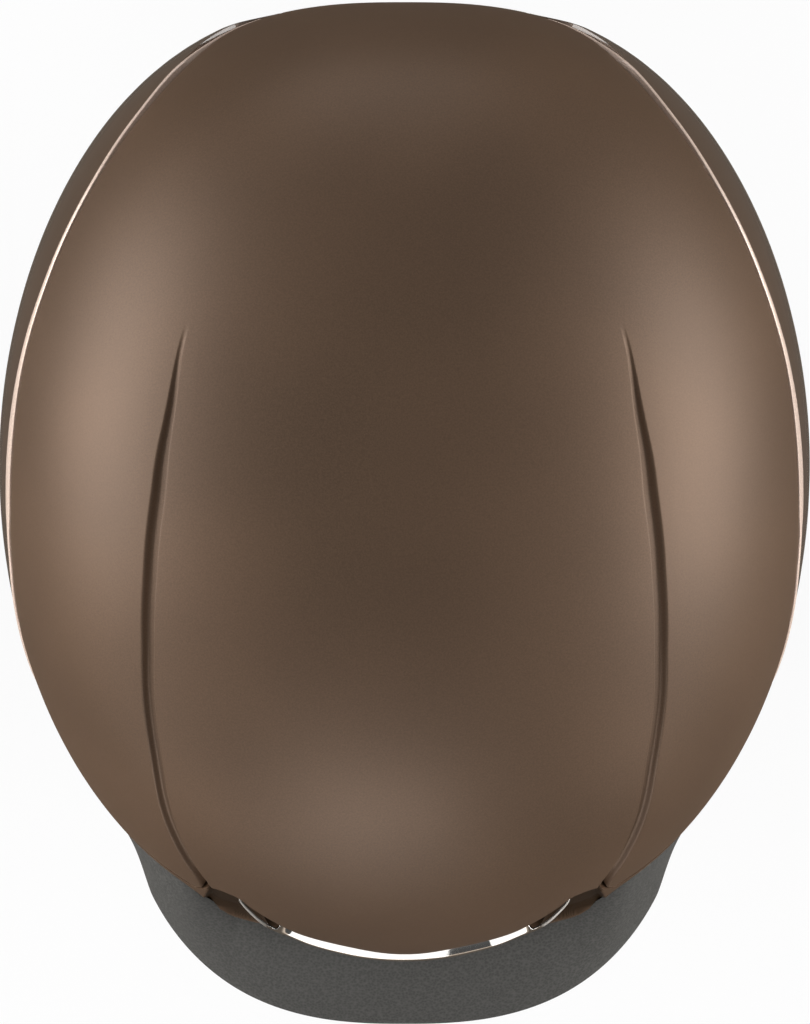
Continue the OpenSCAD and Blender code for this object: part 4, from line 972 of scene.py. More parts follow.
@dataclass
class SubAssembly:
    """A group of pieces that is built and dressed together."""

    form: ShellForm = FORM
    made: list[Object] = field(default_factory=list, init=False)

    def add(self, obj: Object, finish: Finish, slot: str, body: str = "helmet",
            stands_for: Sequence[str] = (), ends: Optional[tuple[Sequence[float], ...]] = None) -> None:
        """Dresses a piece and ties it to the frame.

        Args:
            obj: The finished piece.
            finish: Its finish.
            slot: The record's material slot; not used.
            body: The body that it rides on.
            stands_for: The nodes that it replaces.
            ends: Where it leaves the helmet and reaches the buckle's toothed strip, if it bends
                between the two.
        """
        dress(obj, finish)
        if ends:
            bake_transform(obj, "helmet", "tongue", *ends)
        else:
            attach(obj, body)
        if stands_for:
            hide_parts(*stands_for)
        self.made.append(obj)

    def report(self) -> None:
        """Logs each piece with its number of faces."""
        for obj in self.made:
            LOG.info("%s: %s, %d faces", type(self).__name__, obj.name, len(obj.data.polygons))


@dataclass
class OuterShell(SubAssembly):
    """The crown, the side covers, the brow, the rear panel and the strips between them."""

    crown_columns: tuple[tuple[float, float, int], ...] = (
        (0, 25, 26), (25, 29.5, 45), (29.5, 34, 14), (34, 120, 108), (120, 180, 60))
    outer_rows: tuple[int, int, int] = (22, 64, 40)
    inner_rows: tuple[int, int, int] = (8, 12, 10)
    crease_reach: tuple[float, float] = (4.6, 3.4)
    crease_clear: float = 3.0
    reach_share: float = 0.75
    inner_crease: float = 0.35
    top_row: float = 89.3
    top_bunching: float = 0.92
    lip_scale: float = 1.9
    lip_turn: float = 75.0
    lip_rows: int = 6
    cover_columns: int = 170
    cover_rows: int = 44
    cover_bunching: float = 0.9
    tail_power: int = 4
    strip_start: float = 1.5
    strip_columns: int = 260
    strip_rows: int = 9
    strip_crown: float = 0.35
    strip_sink: tuple[float, float, float] = (0.15, 149.0, 9.0)
    brow_rows: int = 60
    brow_wall: float = 2.6
    brow_under: float = 3.7
    brow_swell: tuple[float, float, float] = (1.5, 23.5, 4.0)
    pocket_depths: tuple[float, float] = (1.3, 2.6)
    # Spans of a hill: start, length of the rise, length of the fall, end
    pocket_span: tuple[float, ...] = (17.0, 3.0, 0.8, 27.3)
    # Where the scoops are painted darker, as painted shade in the recess
    scoop_span: tuple[float, ...] = (16.5, 1.5, 0.3, 27.35)
    tuck_span: tuple[float, ...] = (21.0, 2.0, 0.4, 27.4)
    tuck_height: float = 2.0
    flush_from: float = 26.5
    brow_set: float = 0.5
    brow_end: float = 62.6
    strip_end: float = 165.0
    lip: float = 0.9

    def build(self) -> None:
        """Builds and dresses every piece of the shell."""
        self.crown()
        for side, mirror in SIDES:
            self.cover(side, mirror)
            self.strip(side, mirror)
        self.brow()
        self.rear()

    def crown_rows(self, a: Array, fine: bool) -> Array:
        """Elevations of the rows of the crown at each azimuth, close together at the crease."""
        low = self.form.crown_low(a)[:, None] + (self.lip / self.lip_scale if fine else 0)
        mid = np.maximum(self.form.crease_line(self.form.side(a))[:, None], low + self.crease_clear)
        below, near, above = self.outer_rows if fine else self.inner_rows
        reach = np.minimum(self.crease_reach[0], self.reach_share * (mid - low))
        s = row(0, 1, below, endpoint=False)
        t = row(0, 1, near)
        u = np.linspace(0, 1, above + 1)[None, 1:] ** self.top_bunching
        top = mid + self.crease_reach[1]
        return np.hstack([mix(low, mid - reach, s), mix(mid - reach, top, t), mix(top, self.top_row, u)])

    def crown(self) -> None:
        """The crown shell with its two creases."""
        f = self.form
        spans = [np.linspace(low, high, n, endpoint=False) for low, high, n in self.crown_columns]
        bounds = np.concatenate(spans)
        half = (bounds + np.append(bounds[1:], 180)) / 2
        a = np.concatenate([-half[::-1], half])
        e, k = self.crown_rows(a, True), self.crown_rows(a, False)
        turn = a[:, None]
        phi = np.radians(np.linspace(0, self.lip_turn, self.lip_rows))[None, :]
        start = f.crown_low(a)[:, None] + self.lip / self.lip_scale * (1 - np.cos(phi))
        depth = f.crown_form(turn, start) + f.crease(turn, start) + self.lip * (1 - np.sin(phi))
        edge = f.at(turn, start, depth)
        outer = f.at(turn, e, f.crown_form(turn, e) + f.crease(turn, e))
        outer = np.concatenate([edge, outer], 1)
        inner = f.at(turn, k, f.crown_form(turn, k) + f.wall + self.inner_crease * f.crease(turn, k))
        solid = wall(outer, inner, True, [f.at(0, 90), f.at(0, 90, f.wall)])
        obj = mesh_object("crown", solid, 70)
        self.add(obj, MATTE_LACQUER, "matte_shell", stands_for=["crown_shell"])

    def belt_rows(self, low: Array, high: Array, v: Array) -> Array:
        """Elevations from low to high at shares v, with a row on the widest line where it lies between."""
        mid = np.minimum(0, mix(low, high, 0.5))
        return np.where(v < 0.5, mix(low, mid, 2 * v), mix(mid, high, 2 * v - 1))

    def cover(self, side: str, mirror: bool) -> None:
        """A glossy side cover."""
        f = self.form
        u = np.linspace(0, 1, self.cover_columns + 1)
        v = row(0, 1, self.cover_rows + 1)
        b = mix(f.cover_start, f.cover_tail, u**self.cover_bunching)
        low = f.rim(b, f.edging_height + f.shell_lift)
        e = self.belt_rows(low[:, None], f.cover_top(b)[:, None], v)
        a = b[:, None] - f.tail_sweep * (1 - v) * (u**self.tail_power)[:, None]
        run_in = f.rear_step * smooth((b - f.cover_tail + f.tail_taper) / f.tail_taper)[:, None]
        solid = wall(f.at(a, e, run_in), f.at(a, e, f.wall))
        obj = mesh_object(f"side_cover_{side}", solid.mirrored() if mirror else solid)
        round_edges(obj, Edge.SOFT, 3)
        self.add(obj, GLOSS_LACQUER, "gloss_shell", stands_for=[f"side_shell_{side}"])

    def strip(self, side: str, mirror: bool) -> None:
        """The pale strip between crown and cover, slightly crowned across."""
        f = self.form
        b = np.linspace(f.cover_start + self.strip_start, self.strip_end, self.strip_columns)
        across = row(-1, 1, self.strip_rows)
        e = f.seam(b)[:, None] + across * f.across_seam(b, f.strip_half(b))[:, None]
        crown = self.strip_crown * (1 - across**2) * smooth((f.cover_tail - b) / 12)[:, None]
        more, start, run = self.strip_sink
        sunk = (f.rear_step + more) * smooth((b - start) / run)[:, None]
        solid = wall(f.at(b[:, None], e, sunk - 0.1 - crown), f.at(b[:, None], e, sunk + f.strip_wall))
        obj = mesh_object(f"strip_{side}", solid.mirrored() if mirror else solid)
        round_edges(obj, Edge.FINE)
        self.add(obj, SATIN_STRIP, "accent", stands_for=[f"accent_strip_{side}"])

    def pocket(self, b: Array, e: Array) -> Array:
        """Depth of the two scoops beside the vent."""
        deep = mix(*self.pocket_depths, smooth((25.5 - b) / 5))
        return deep * hill(b, *self.pocket_span) * smooth((e - 0.5) / 3)

    def brow(self) -> None:
        """The lower front shell below the vent."""
        f = self.form
        half = np.concatenate([np.linspace(0, 15, 24), np.linspace(15.2, 32, 96),
                               np.linspace(32.6, self.brow_end, 50)])
        a = np.concatenate([-half[:0:-1], half])
        b = np.abs(a)
        seam = f.seam(b) + f.across_seam(b, f.strip_half(b) + f.seam_gap)
        low = np.maximum(f.rim(a, f.edging_height + f.shell_lift), np.where(b < f.cover_start, -90.0, seam))
        tuck, edge = hill(b, *self.tuck_span), f.crown_edge(b)
        high = mix(np.minimum(f.brow_top(b), edge - f.seam_gap), edge + self.tuck_height, tuck)
        e = self.belt_rows(low[:, None], high[:, None], row(0, 1, self.brow_rows + 1))
        a, b, tuck = a[:, None], b[:, None], tuck[:, None]
        out, middle, width = self.brow_swell
        swell = out * bell((b - middle) / width) * smooth((5 - e) / 4)
        under = smooth((e - f.crown_edge(b) + 2.4) / 2) * tuck
        flush = self.brow_set * (1 - smooth((b - self.flush_from) / 0.8))
        depth = mix(flush + self.pocket(b, e) - swell, self.brow_under, under)
        obj = mesh_object("brow", wall(f.at(a, e, depth), f.at(a, e, depth + self.brow_wall)))
        # Painted shade: the scoops' floors are painted darker, as the shade in the recess under the crown's
        # lip
        scoop = hill(b, *self.scoop_span) * smooth((e - 1.0) / 0.8)
        set_values(obj, "scoop", np.concatenate([scoop.ravel(), scoop.ravel()]))
        round_edges(obj, Edge.SOFT)
        self.add(obj, BROW_LACQUER, "matte_shell", stands_for=["brow_shell"])

    def rear(self) -> None:
        """The rear panel with the air outlet."""
        f = self.form
        u = column(-1, 1, 61)
        v = row(0, 1, 33)
        half = 180 - (f.cover_tail - f.tail_sweep * (1 - v)) - 0.5
        a = 180 + u * half
        low = f.rim(180.0, f.edging_height + f.shell_lift)
        e = self.belt_rows(low, f.seam(f.side(a)) - 0.4, v)
        obj = mesh_object("rear_panel", wall(f.at(a, e, f.rear_step), f.at(a, e, f.rear_step + f.wall)))
        width, height, z = f.outlet
        cut(obj, stadium_prism(width, height, f.rear_length - 20, f.rear_length + 10, z))
        round_edges(obj, Edge.SOFT)
        self.add(obj, MATTE_LACQUER, "matte_shell", stands_for=["rear_shell"])


def stadium_prism(width: float, height: float, y0: float, y1: float, z: float, x: float = 0.0) -> Solid:
    """A bar with round ends in section, along Y, to cut a window with.

    Args:
        width: Width over the round ends.
        height: Height.
        y0: Where it starts.
        y1: Where it ends.
        z: Height of its middle.
        x: Side place of its middle.

    Returns:
        The closed solid.
    """
    r = height / 2
    turn = np.radians(np.linspace(0, 360, 64, endpoint=False) + 2.8)
    shift = np.sign(np.cos(turn)) * (width / 2 - r)
    ring = np.stack([x + shift + r * np.cos(turn), np.zeros_like(turn), z + r * np.sin(turn)], -1)
    rings = np.stack([ring + [0, y0, 0], ring + [0, y1, 0]])
    return tube(np.array([[x, y0, z], [x, y1, z]]), rings)


def cut(obj: Object, tool: Solid) -> None:
    """Cuts a solid out of a piece, and applies the cut.

    Args:
        obj: The piece.
        tool: The solid that is taken away.
    """
    cutter = mesh_object("cutter", tool)
    mod = obj.modifiers.new("cut", "BOOLEAN")
    mod.operation = "DIFFERENCE"
    mod.solver = "EXACT"
    mod.object = cutter
    settle(obj)
    bpy.data.objects.remove(cutter)


def settle(obj: Object) -> None:
    """Turns the evaluated shape of an object into its plain mesh and drops its modifiers."""
    bpy.context.view_layer.update()
    graph = bpy.context.evaluated_depsgraph_get()
    mesh = bpy.data.meshes.new_from_object(obj.evaluated_get(graph), depsgraph=graph)
    obj.modifiers.clear()
    obj.data = mesh


@dataclass
class FrontTrim(SubAssembly):
    """The bright bar under the crown."""

    span: float = 23.6
    columns: int = 181
    sides: int = 48
    height: float = 5.0
    wall: float = 3.3
    tilt: float = 45.0
    upright_from: float = 15.0
    rubbed_from: float = 16.2
    squareness: float = 0.4
    line: Line = Line((0, 1), (10, 1.6), (14, 3.2), (16.5, 5), (19.5, 9.5), (22.5, 14.6),
                      (23.6, 17.4))
    taper: Line = Line((0, 1), (15.9, 1), (16.4, 0.2), (22.5, 0.16), (23.6, 0.1))
    edge: Line = Line((0, -3.4), (3.9, -3.05), (7.7, -2.3), (11.7, -1.5), (14.5, -0.7),
                      (18.6, -0.3), (20.5, 0.2), (22.5, 0.7), (23.6, 2.2))

    def build(self) -> None:
        """Builds the bar."""
        f = self.form
        a = np.linspace(-self.span, self.span, self.columns)
        b = np.abs(a)
        s, e0 = self.taper(b), self.line(b)
        scale = f.mm_per_degree(b, np.maximum(e0, 2))
        side, top = soft_section(self.sides, self.squareness, self.squareness)
        up, out = s[:, None] * self.height / 2 * top, s[:, None] * self.wall / 2 * side
        rise = f.at(a, e0 + 0.5) - f.at(a, e0 - 0.5)
        lean = np.arctan2(np.hypot(rise[:, 0], rise[:, 1]), rise[:, 2])
        lean = lean * smooth((b - self.upright_from) / 1.5)
        tilt = (math.radians(self.tilt) - lean)[:, None]
        cosine, sine = np.cos(tilt), np.sin(tilt)
        up, out = up * cosine + out * sine, out * cosine - up * sine
        d0 = self.edge(b) + np.abs(out).max(1)
        rings = f.at(a[:, None], e0[:, None] + up / scale[:, None], d0[:, None] - out)
        obj = mesh_object("bright_bar", tube(f.at(a, e0, d0), rings), 60.0)
        points = read_points(obj)
        turn = np.degrees(np.arctan2(np.abs(points[:, 0]), -points[:, 1]))
        set_values(obj, "rubbed", smooth((turn - self.rubbed_from) / 0.8))
        self.add(obj, BAR_PLATING, "chrome_trim", stands_for=["front_trim"])


@dataclass
class Peak(SubAssembly):
    """The short peak and its lining."""

    half: float = 79.0
    reach: float = 22.4
    run: float = 69.0
    wall: float = 3.0
    drop: float = 17.0
    lining: float = 1.0
    lining_gap: float = 0.95
    lining_inset: float = 0.14
    columns: int = 181
    rows: int = 33
    bunching: float = 0.6
    edge_tuck: float = 0.7
    rise_power: float = 1.25
    round_end: float = 0.13
    tip: float = 0.12
    meets_from: float = 0.82
    root_depth: float = 0.2
    end_depth: float = -1.2
    angle: float = 44.0
    sweep: float = 71.3
    sweep_power: float = 1.15
    widening: float = 1.019
    powers: tuple[float, float] = (2.5, 2.6)
    bevel_share: float = 0.25
    root_line: Line = Line((0, -3), (12, -3), (20, -1), (25, 1.5), (31, 5), (38, 2), (44, -7))
    edge_line: Line = Line((0, 0), (0.4, -1.5), (0.7, -4.5), (0.9, -5), (1, -2))

    def root(self, u: Array) -> Array:
        """Points where the peak leaves the shell."""
        return self.form.at(self.angle * u, self.root_line(np.abs(self.angle * u)), self.root_depth)

    def rim(self, u: Array) -> Array:
        """Points of the free edge."""
        f = np.radians(90 - self.sweep * np.abs(u) ** self.sweep_power)
        x = np.sign(u) * self.half * self.widening * np.cos(f) ** (2 / self.powers[1])
        root = self.form.front_length - self.run
        y = -(root + (self.reach + self.run) * np.sin(f) ** (2 / self.powers[0]))
        at_shell = self.form.at(self.angle * u, 0.0, self.end_depth)
        k = smooth((np.abs(u) - self.meets_from) / (1 - self.meets_from))
        z = self.form.belt_height - self.drop + self.edge_line(np.abs(u))
        return np.stack([mix(x, at_shell[..., 0], k), mix(y, at_shell[..., 1], k), z], -1)

    def net(self, depth: float, inset: float) -> Array:
        """Points of the peak at a depth below its upper side, edge row first, drawn in at the round ends."""
        even = column(-1, 1, self.columns)
        u = (1 - inset) * mix(even, np.sin(even * math.pi / 2), self.bunching)
        s = row(1, 0, self.rows)
        share = mix(inset, 1 - inset, s)
        root, rim = self.root(u), self.rim(u)
        end = np.maximum(np.abs(u) - 1 + self.round_end, 0) / self.round_end
        open_share = np.sqrt(np.maximum(1 - end**2, self.tip**2))[..., None]
        middle = (root + rim) / 2
        root, rim = mix(middle, root, open_share), mix(middle, rim, open_share)
        flat = unit((rim - root) * np.array([1.0, 1.0, 0.0]))
        tuck = self.edge_tuck * depth / self.wall * (s == 1)
        point = mix(root, rim, share[..., None]) - flat * tuck[..., None]
        down = depth * (1 - self.bevel_share * share)
        point[..., 2] = mix(root[..., 2], rim[..., 2], share**self.rise_power) - down
        return point

    def build(self) -> None:
        """Builds the peak and the lining."""
        obj = mesh_object("peak", wall(self.net(0, 0), self.net(self.wall, 0)))
        round_edges(obj, Edge.FULL, 3)
        self.add(obj, PEAK_SKIN, "peak", stands_for=["visor"])
        top = self.wall + self.lining_gap
        under = wall(self.net(top, self.lining_inset), self.net(top + self.lining, self.lining_inset))
        lining = mesh_object("peak_lining", under)
        round_edges(lining, Edge.FINE)
        self.add(lining, PEAK_FLOCK, "felt", stands_for=["visor_lining"])


# Repeated pieces


@dataclass
class Repeat:
    """One small solid set on many points, each turned to its own directions, with Geometry Nodes."""

    name: str
    unit: Solid
    finish: Finish
    spread: float = 0.05
    seed: int = 7
    flat_above: float = 40.0

    def tree(self) -> bpy.types.NodeTree:
        """The node tree, whose inputs are set by name."""
        tree = bpy.data.node_groups.new(self.name + "_nodes", "GeometryNodeTree")
        for label, kind in (("Geometry", "Geometry"), ("Piece", "Object"), ("Spread", "Float"),
                            ("Seed", "Int"), ("Material", "Material")):
            tree.interface.new_socket(name=label, in_out="INPUT", socket_type=f"NodeSocket{kind}")
        tree.interface.new_socket(name="Geometry", in_out="OUTPUT", socket_type="NodeSocketGeometry")
        g = Nodes(tree)
        given = tree.nodes.new("NodeGroupInput").outputs
        points, piece, spread, seed, paint = (Wire(g, socket) for socket in list(given)[:5])
        turns: dict[str, Wire] = {}
        for key, axis, pivot in (("along", "X", "AUTO"), ("facing", "Z", "X")):
            way = g.node("GeometryNodeInputNamedAttribute", {"data_type": "FLOAT_VECTOR"},
                         {"Name": key}, "Attribute")
            turns["Rotation"] = g.node("FunctionNodeAlignRotationToVector",
                                       {"axis": axis, "pivot_axis": pivot}, {"Vector": way, **turns})
        size = g.node("FunctionNodeRandomValue", {"data_type": "FLOAT"},
                      {2: 1.0 - spread, 3: spread + 1.0, "Seed": seed}, 1)
        form = g.node("GeometryNodeObjectInfo", None, {"Object": piece}, "Geometry")
        copies = g.node("GeometryNodeInstanceOnPoints", None,
                        {"Points": points, "Instance": form, "Scale": size, **turns})
        real = g.node("GeometryNodeRealizeInstances", None, {0: copies})
        dressed = g.node("GeometryNodeSetMaterial", None, {"Geometry": real, "Material": paint})
        g.feed(tree.nodes.new("NodeGroupOutput").inputs[0], dressed)
        return tree

    def build(self, places: Array, along: Array, facing: Array) -> Object:
        """Sets the pieces and turns them into one mesh.

        Args:
            places: Points in millimetres.
            along: Direction of each piece's X axis.
            facing: Direction of each piece's Z axis.

        Returns:
            The object that holds them all.
        """
        unit_piece = mesh_object(self.name + "_unit", self.unit, self.flat_above)
        obj = mesh_object(self.name, Solid(places, []))
        set_values(obj, "along", np.asarray(along))
        set_values(obj, "facing", np.asarray(facing))
        dress(unit_piece, self.finish)
        tree = self.tree()
        mod = obj.modifiers.new("repeat", "NODES")
        mod.node_group = tree
        given = {"Piece": unit_piece, "Spread": self.spread, "Seed": self.seed, "Material": MADE[self.finish]}
        for item in tree.interface.items_tree:
            if item.in_out == "INPUT" and item.name in given:
                mod[item.identifier] = given[item.name]
        settle(obj)
        bpy.data.objects.remove(unit_piece)
        bpy.data.node_groups.remove(tree)
        return obj


def stitch_unit(length: float = 2.0, thick: float = 0.55) -> Solid:
    """One stitch: a short thread that is lifted in its middle."""
    t = np.linspace(-1, 1, 7)
    path = np.stack([t * length / 2, 0 * t, thick * 0.35 * (1 - t**2) - 0.08], -1)
    w = np.radians(np.arange(8) * 45.0)
    r = thick / 2 * np.sqrt(np.clip(1 - t**4, 0.06, 1))
    rings = path[:, None, :] + r[:, None, None] * np.stack([0 * w, np.cos(w), np.sin(w)], -1)[None]
    return tube(path, rings)


def bar_unit(size: tuple[float, float, float], power: float = 0.35) -> Solid:
    """A bar with rounded long edges, along Z."""
    z = np.array([-1, -0.96, -0.7, 0.7, 0.96, 1]) * size[2] / 2
    grow = np.array([0.7, 1, 1, 1, 1, 0.7])
    side, top = soft_section(20, power, power)
    section = np.stack([size[0] / 2 * side, size[1] / 2 * top, 0 * side], -1)
    path = np.stack([0 * z, 0 * z, z], -1)
    return tube(path, path[:, None, :] + grow[:, None, None] * section[None])


# Paths and soft pieces


def spline(points: Array, steps: int) -> Array:
    """Smooth path through points, with evenly spaced samples."""
    p = np.asarray(points, float)
    p = np.vstack([2 * p[0] - p[1], p, 2 * p[-1] - p[-2]])
    out = []
    for i in range(1, len(p) - 2):
        t = column(0, 1, 24, endpoint=False)
        out.append(0.5 * (2 * p[i] + (p[i + 1] - p[i - 1]) * t
                          + (2 * p[i - 1] - 5 * p[i] + 4 * p[i + 1] - p[i + 2]) * t**2
                          + (3 * p[i] - p[i - 1] - 3 * p[i + 1] + p[i + 2]) * t**3))
    dense = np.vstack(out + [p[-2:-1]])
    run = run_length(dense)
    return sample(dense, run, np.linspace(0, run[-1], steps))


def run_length(path: Array) -> Array:
    """Length along a path at each of its points."""
    return np.concatenate([[0], np.cumsum(np.linalg.norm(np.diff(path, axis=0), axis=1))])


def sample(path: Array, run: Array, at: Array) -> Array:
    """Points at some lengths of a path whose own points lie at the lengths in run."""
    return np.stack([np.interp(at, run, path[:, k]) for k in range(3)], -1)


def nearest(points: Array, goals: Array) -> tuple[Array, Array]:
    """Finds the nearest goal of each point.

    Args:
        points: Where the search starts.
        goals: Points that can be found.

    Returns:
        The number of the goal, and its distance.
    """
    tree = KDTree(len(goals))
    for i, goal in enumerate(goals):
        tree.insert(goal, i)
    tree.balance()
    found = [tree.find(p)[1:] for p in points]
    return np.array([f[0] for f in found]), np.array([f[1] for f in found])


def surface_tree(obj: Object) -> BVHTree:
    """Search tree over the faces of a mesh, in millimetres."""
    return BVHTree.FromPolygons([v.co / MM for v in obj.data.vertices],
                                [tuple(p.vertices) for p in obj.data.polygons])


def frame_of(path: Array, faces: Array) -> tuple[Array, Array, Array]:
    """Directions along a path, across it and out of its face."""
    ahead = unit(np.gradient(path, axis=0))
    across = unit(np.cross(ahead, faces))
    return ahead, across, np.cross(across, ahead)


def piping_rod(path: Array, radius: float, sides: int = 10) -> Solid:
    """Round rod along a closed path."""
    ahead = unit(np.roll(path, -1, 0) - np.roll(path, 1, 0))
    away = unit(path - path.mean(0) + np.array([1e-4, 2e-4, 0]))
    one = unit(np.cross(ahead, away))
    two = np.cross(ahead, one)
    w = np.radians(360 * np.arange(sides) / sides)
    rings = path[:, None, :] + radius * (np.cos(w)[None, :, None] * one[:, None, :]
                                         + np.sin(w)[None, :, None] * two[:, None, :])
    return tube(path, rings, True)


CLOTH_STEPS = 20
CLOTH_PRESSURE = 4.0
CLOTH_STIFFNESS = 12.0
CLOTH_BENDING = 0.4
CLOTH_QUALITY = 6


def fill_out(obj: Object, back: Array, cap: float, voxel: float = 1.5) -> None:
    """Fills a pad out by a short cloth simulation and keeps the result.

    Args:
        obj: The pad, a little thinner than it ends up.
        back: Points of its back, which is held.
        cap: How far a point may move, in millimetres.
        voxel: Size of the even faces in millimetres.
    """
    even = obj.modifiers.new("even faces", "REMESH")
    even.mode, even.voxel_size = "VOXEL", voxel * MM
    settle(obj)
    start = read_points(obj)
    near = nearest(start, back)[1]
    held = obj.vertex_groups.new(name="held")
    for i in np.nonzero(near < voxel * 0.45)[0].tolist():
        held.add([i], 1.0, "REPLACE")
    cloth = obj.modifiers.new("cloth", "CLOTH")
    rules = cloth.settings
    rules.use_pressure, rules.uniform_pressure_force = True, CLOTH_PRESSURE
    rules.vertex_group_mass = "held"
    rules.effector_weights.gravity = 0.0
    rules.tension_stiffness = rules.compression_stiffness = CLOTH_STIFFNESS
    rules.bending_stiffness, rules.quality = CLOTH_BENDING, CLOTH_QUALITY
    for step in range(1, CLOTH_STEPS + 1):
        bpy.context.scene.frame_set(step)
    settle(obj)
    bpy.context.scene.frame_set(1)
    obj.vertex_groups.clear()
    moved = read_points(obj) - start
    far = np.linalg.norm(moved, axis=1, keepdims=True)
    write_points(obj, start + moved * np.minimum(1, cap / np.maximum(far, 1e-9)))
    smoother = obj.modifiers.new("fine faces", "SUBSURF")
    smoother.levels = smoother.render_levels = 1
    settle(obj)
    obj.data.polygons.foreach_set("use_smooth", np.ones(len(obj.data.polygons), bool))


def sew(obj: Object, lines: Sequence[Array], depth: float, width: float, side: Array) -> None:
    """Draws a pad in along its seams.

    Args:
        obj: The pad.
        lines: Paths of the seams in millimetres.
        depth: How deep they lie.
        width: Half width of the groove.
        side: Direction out of the pad's face, one for all or one for each point.
    """
    points = read_points(obj)
    away = nearest(points, np.vstack(lines))[1]
    write_points(obj, points - depth * bell(away / width)[:, None] * side)


def pull_to(obj: Object, loop: Array) -> Array:
    """The nearest points of a mesh to those of a closed path, evened out.

    Args:
        obj: The mesh.
        loop: Points in millimetres.

    Returns:
        A smooth closed path on the mesh.
    """
    tree = surface_tree(obj)
    path = np.array([tree.find_nearest(Vector(p))[0] for p in loop])
    for _ in range(3):
        path = (np.roll(path, 1, 0) + 2 * path + np.roll(path, -1, 0)) / 4
    return path


DROP_REACH = 30.0


def drop_on(obj: Object, points: Array, toward: Array) -> tuple[Array, Array]:
    """Sets points down on a mesh.

    Args:
        obj: The mesh.
        points: Points in millimetres, outside the mesh.
        toward: Direction in which each one falls.

    Returns:
        Where they land, and the mesh's direction outwards there.
    """
    tree = surface_tree(obj)
    spots, normals = [], []
    for point, way in zip(points, np.broadcast_to(toward, points.shape)):
        hit, normal, _, _ = tree.ray_cast(Vector(point), Vector(way), DROP_REACH)
        spots.append(point if hit is None else np.array(hit))
        normals.append(-way if normal is None else np.array(normal))
    return np.array(spots), np.array(normals)


@dataclass
class Padding(SubAssembly):
    """Pads that are filled out, sewn and piped."""

    seam_depth: float = 1.1
    seam_half: float = 1.9
    piping: float = 0.9
    stitch_pitch: float = 3.1
    thread: Finish = PAD_THREAD

    def finish_pad(self, name: str, node: str, back: Array, front: Array, loop: Array, seams: Sequence[Array],
                   lay: Callable[[Array], Array], slot: str = "pad", body: str = "helmet",
                   closed: Optional[Solid] = None, cap: float = 1.4) -> None:
        """Fills a pad out, sews it and sets its piping and stitches.

        Args:
            name: Name of the piece.
            node: The node that it stands for.
            back: Net of its back.
            front: Net of its face.
            loop: Path of its piping.
            seams: Paths of its seams on the face.
            lay: Pattern place of points.
            slot: Material slot.
            body: The body that it rides on.
            closed: The solid, where it isn't the plain wall between the two nets.
            cap: How far its face may move out.
        """
        out = unit(front - back).reshape(-1, 3)
        obj = mesh_object(name, closed or wall(back, front), 80)
        fill_out(obj, back.reshape(-1, 3), cap)
        face = front.reshape(-1, 3)
        sew(obj, seams, self.seam_depth, self.seam_half, out[nearest(read_points(obj), face)[0]])
        lay_pattern(obj, lay(read_points(obj)))
        self.add(obj, PAD_KNIT, slot, body, [node])
        piping = mesh_object(name + "_piping", piping_rod(pull_to(obj, loop), self.piping), 80)
        lay_pattern(piping, lay(read_points(piping)))
        self.add(piping, EDGING_RUBBER, slot, body)
        places, along, facing = [], [], []
        for seam in seams:
            run = run_length(seam)
            path = sample(seam, run, np.arange(2.5, run[-1] - 1.5, self.stitch_pitch))
            way = out[nearest(path, face)[0]]
            spots, normals = drop_on(obj, path + 5 * way, -way)
            places.append(spots + 0.1 * normals)
            along.append(unit(np.gradient(path, axis=0)))
            facing.append(normals)
        thread = Repeat(name + "_stitches", stitch_unit(), self.thread).build(
            np.vstack(places), np.vstack(along), np.vstack(facing))
        self.add(thread, self.thread, slot, body)


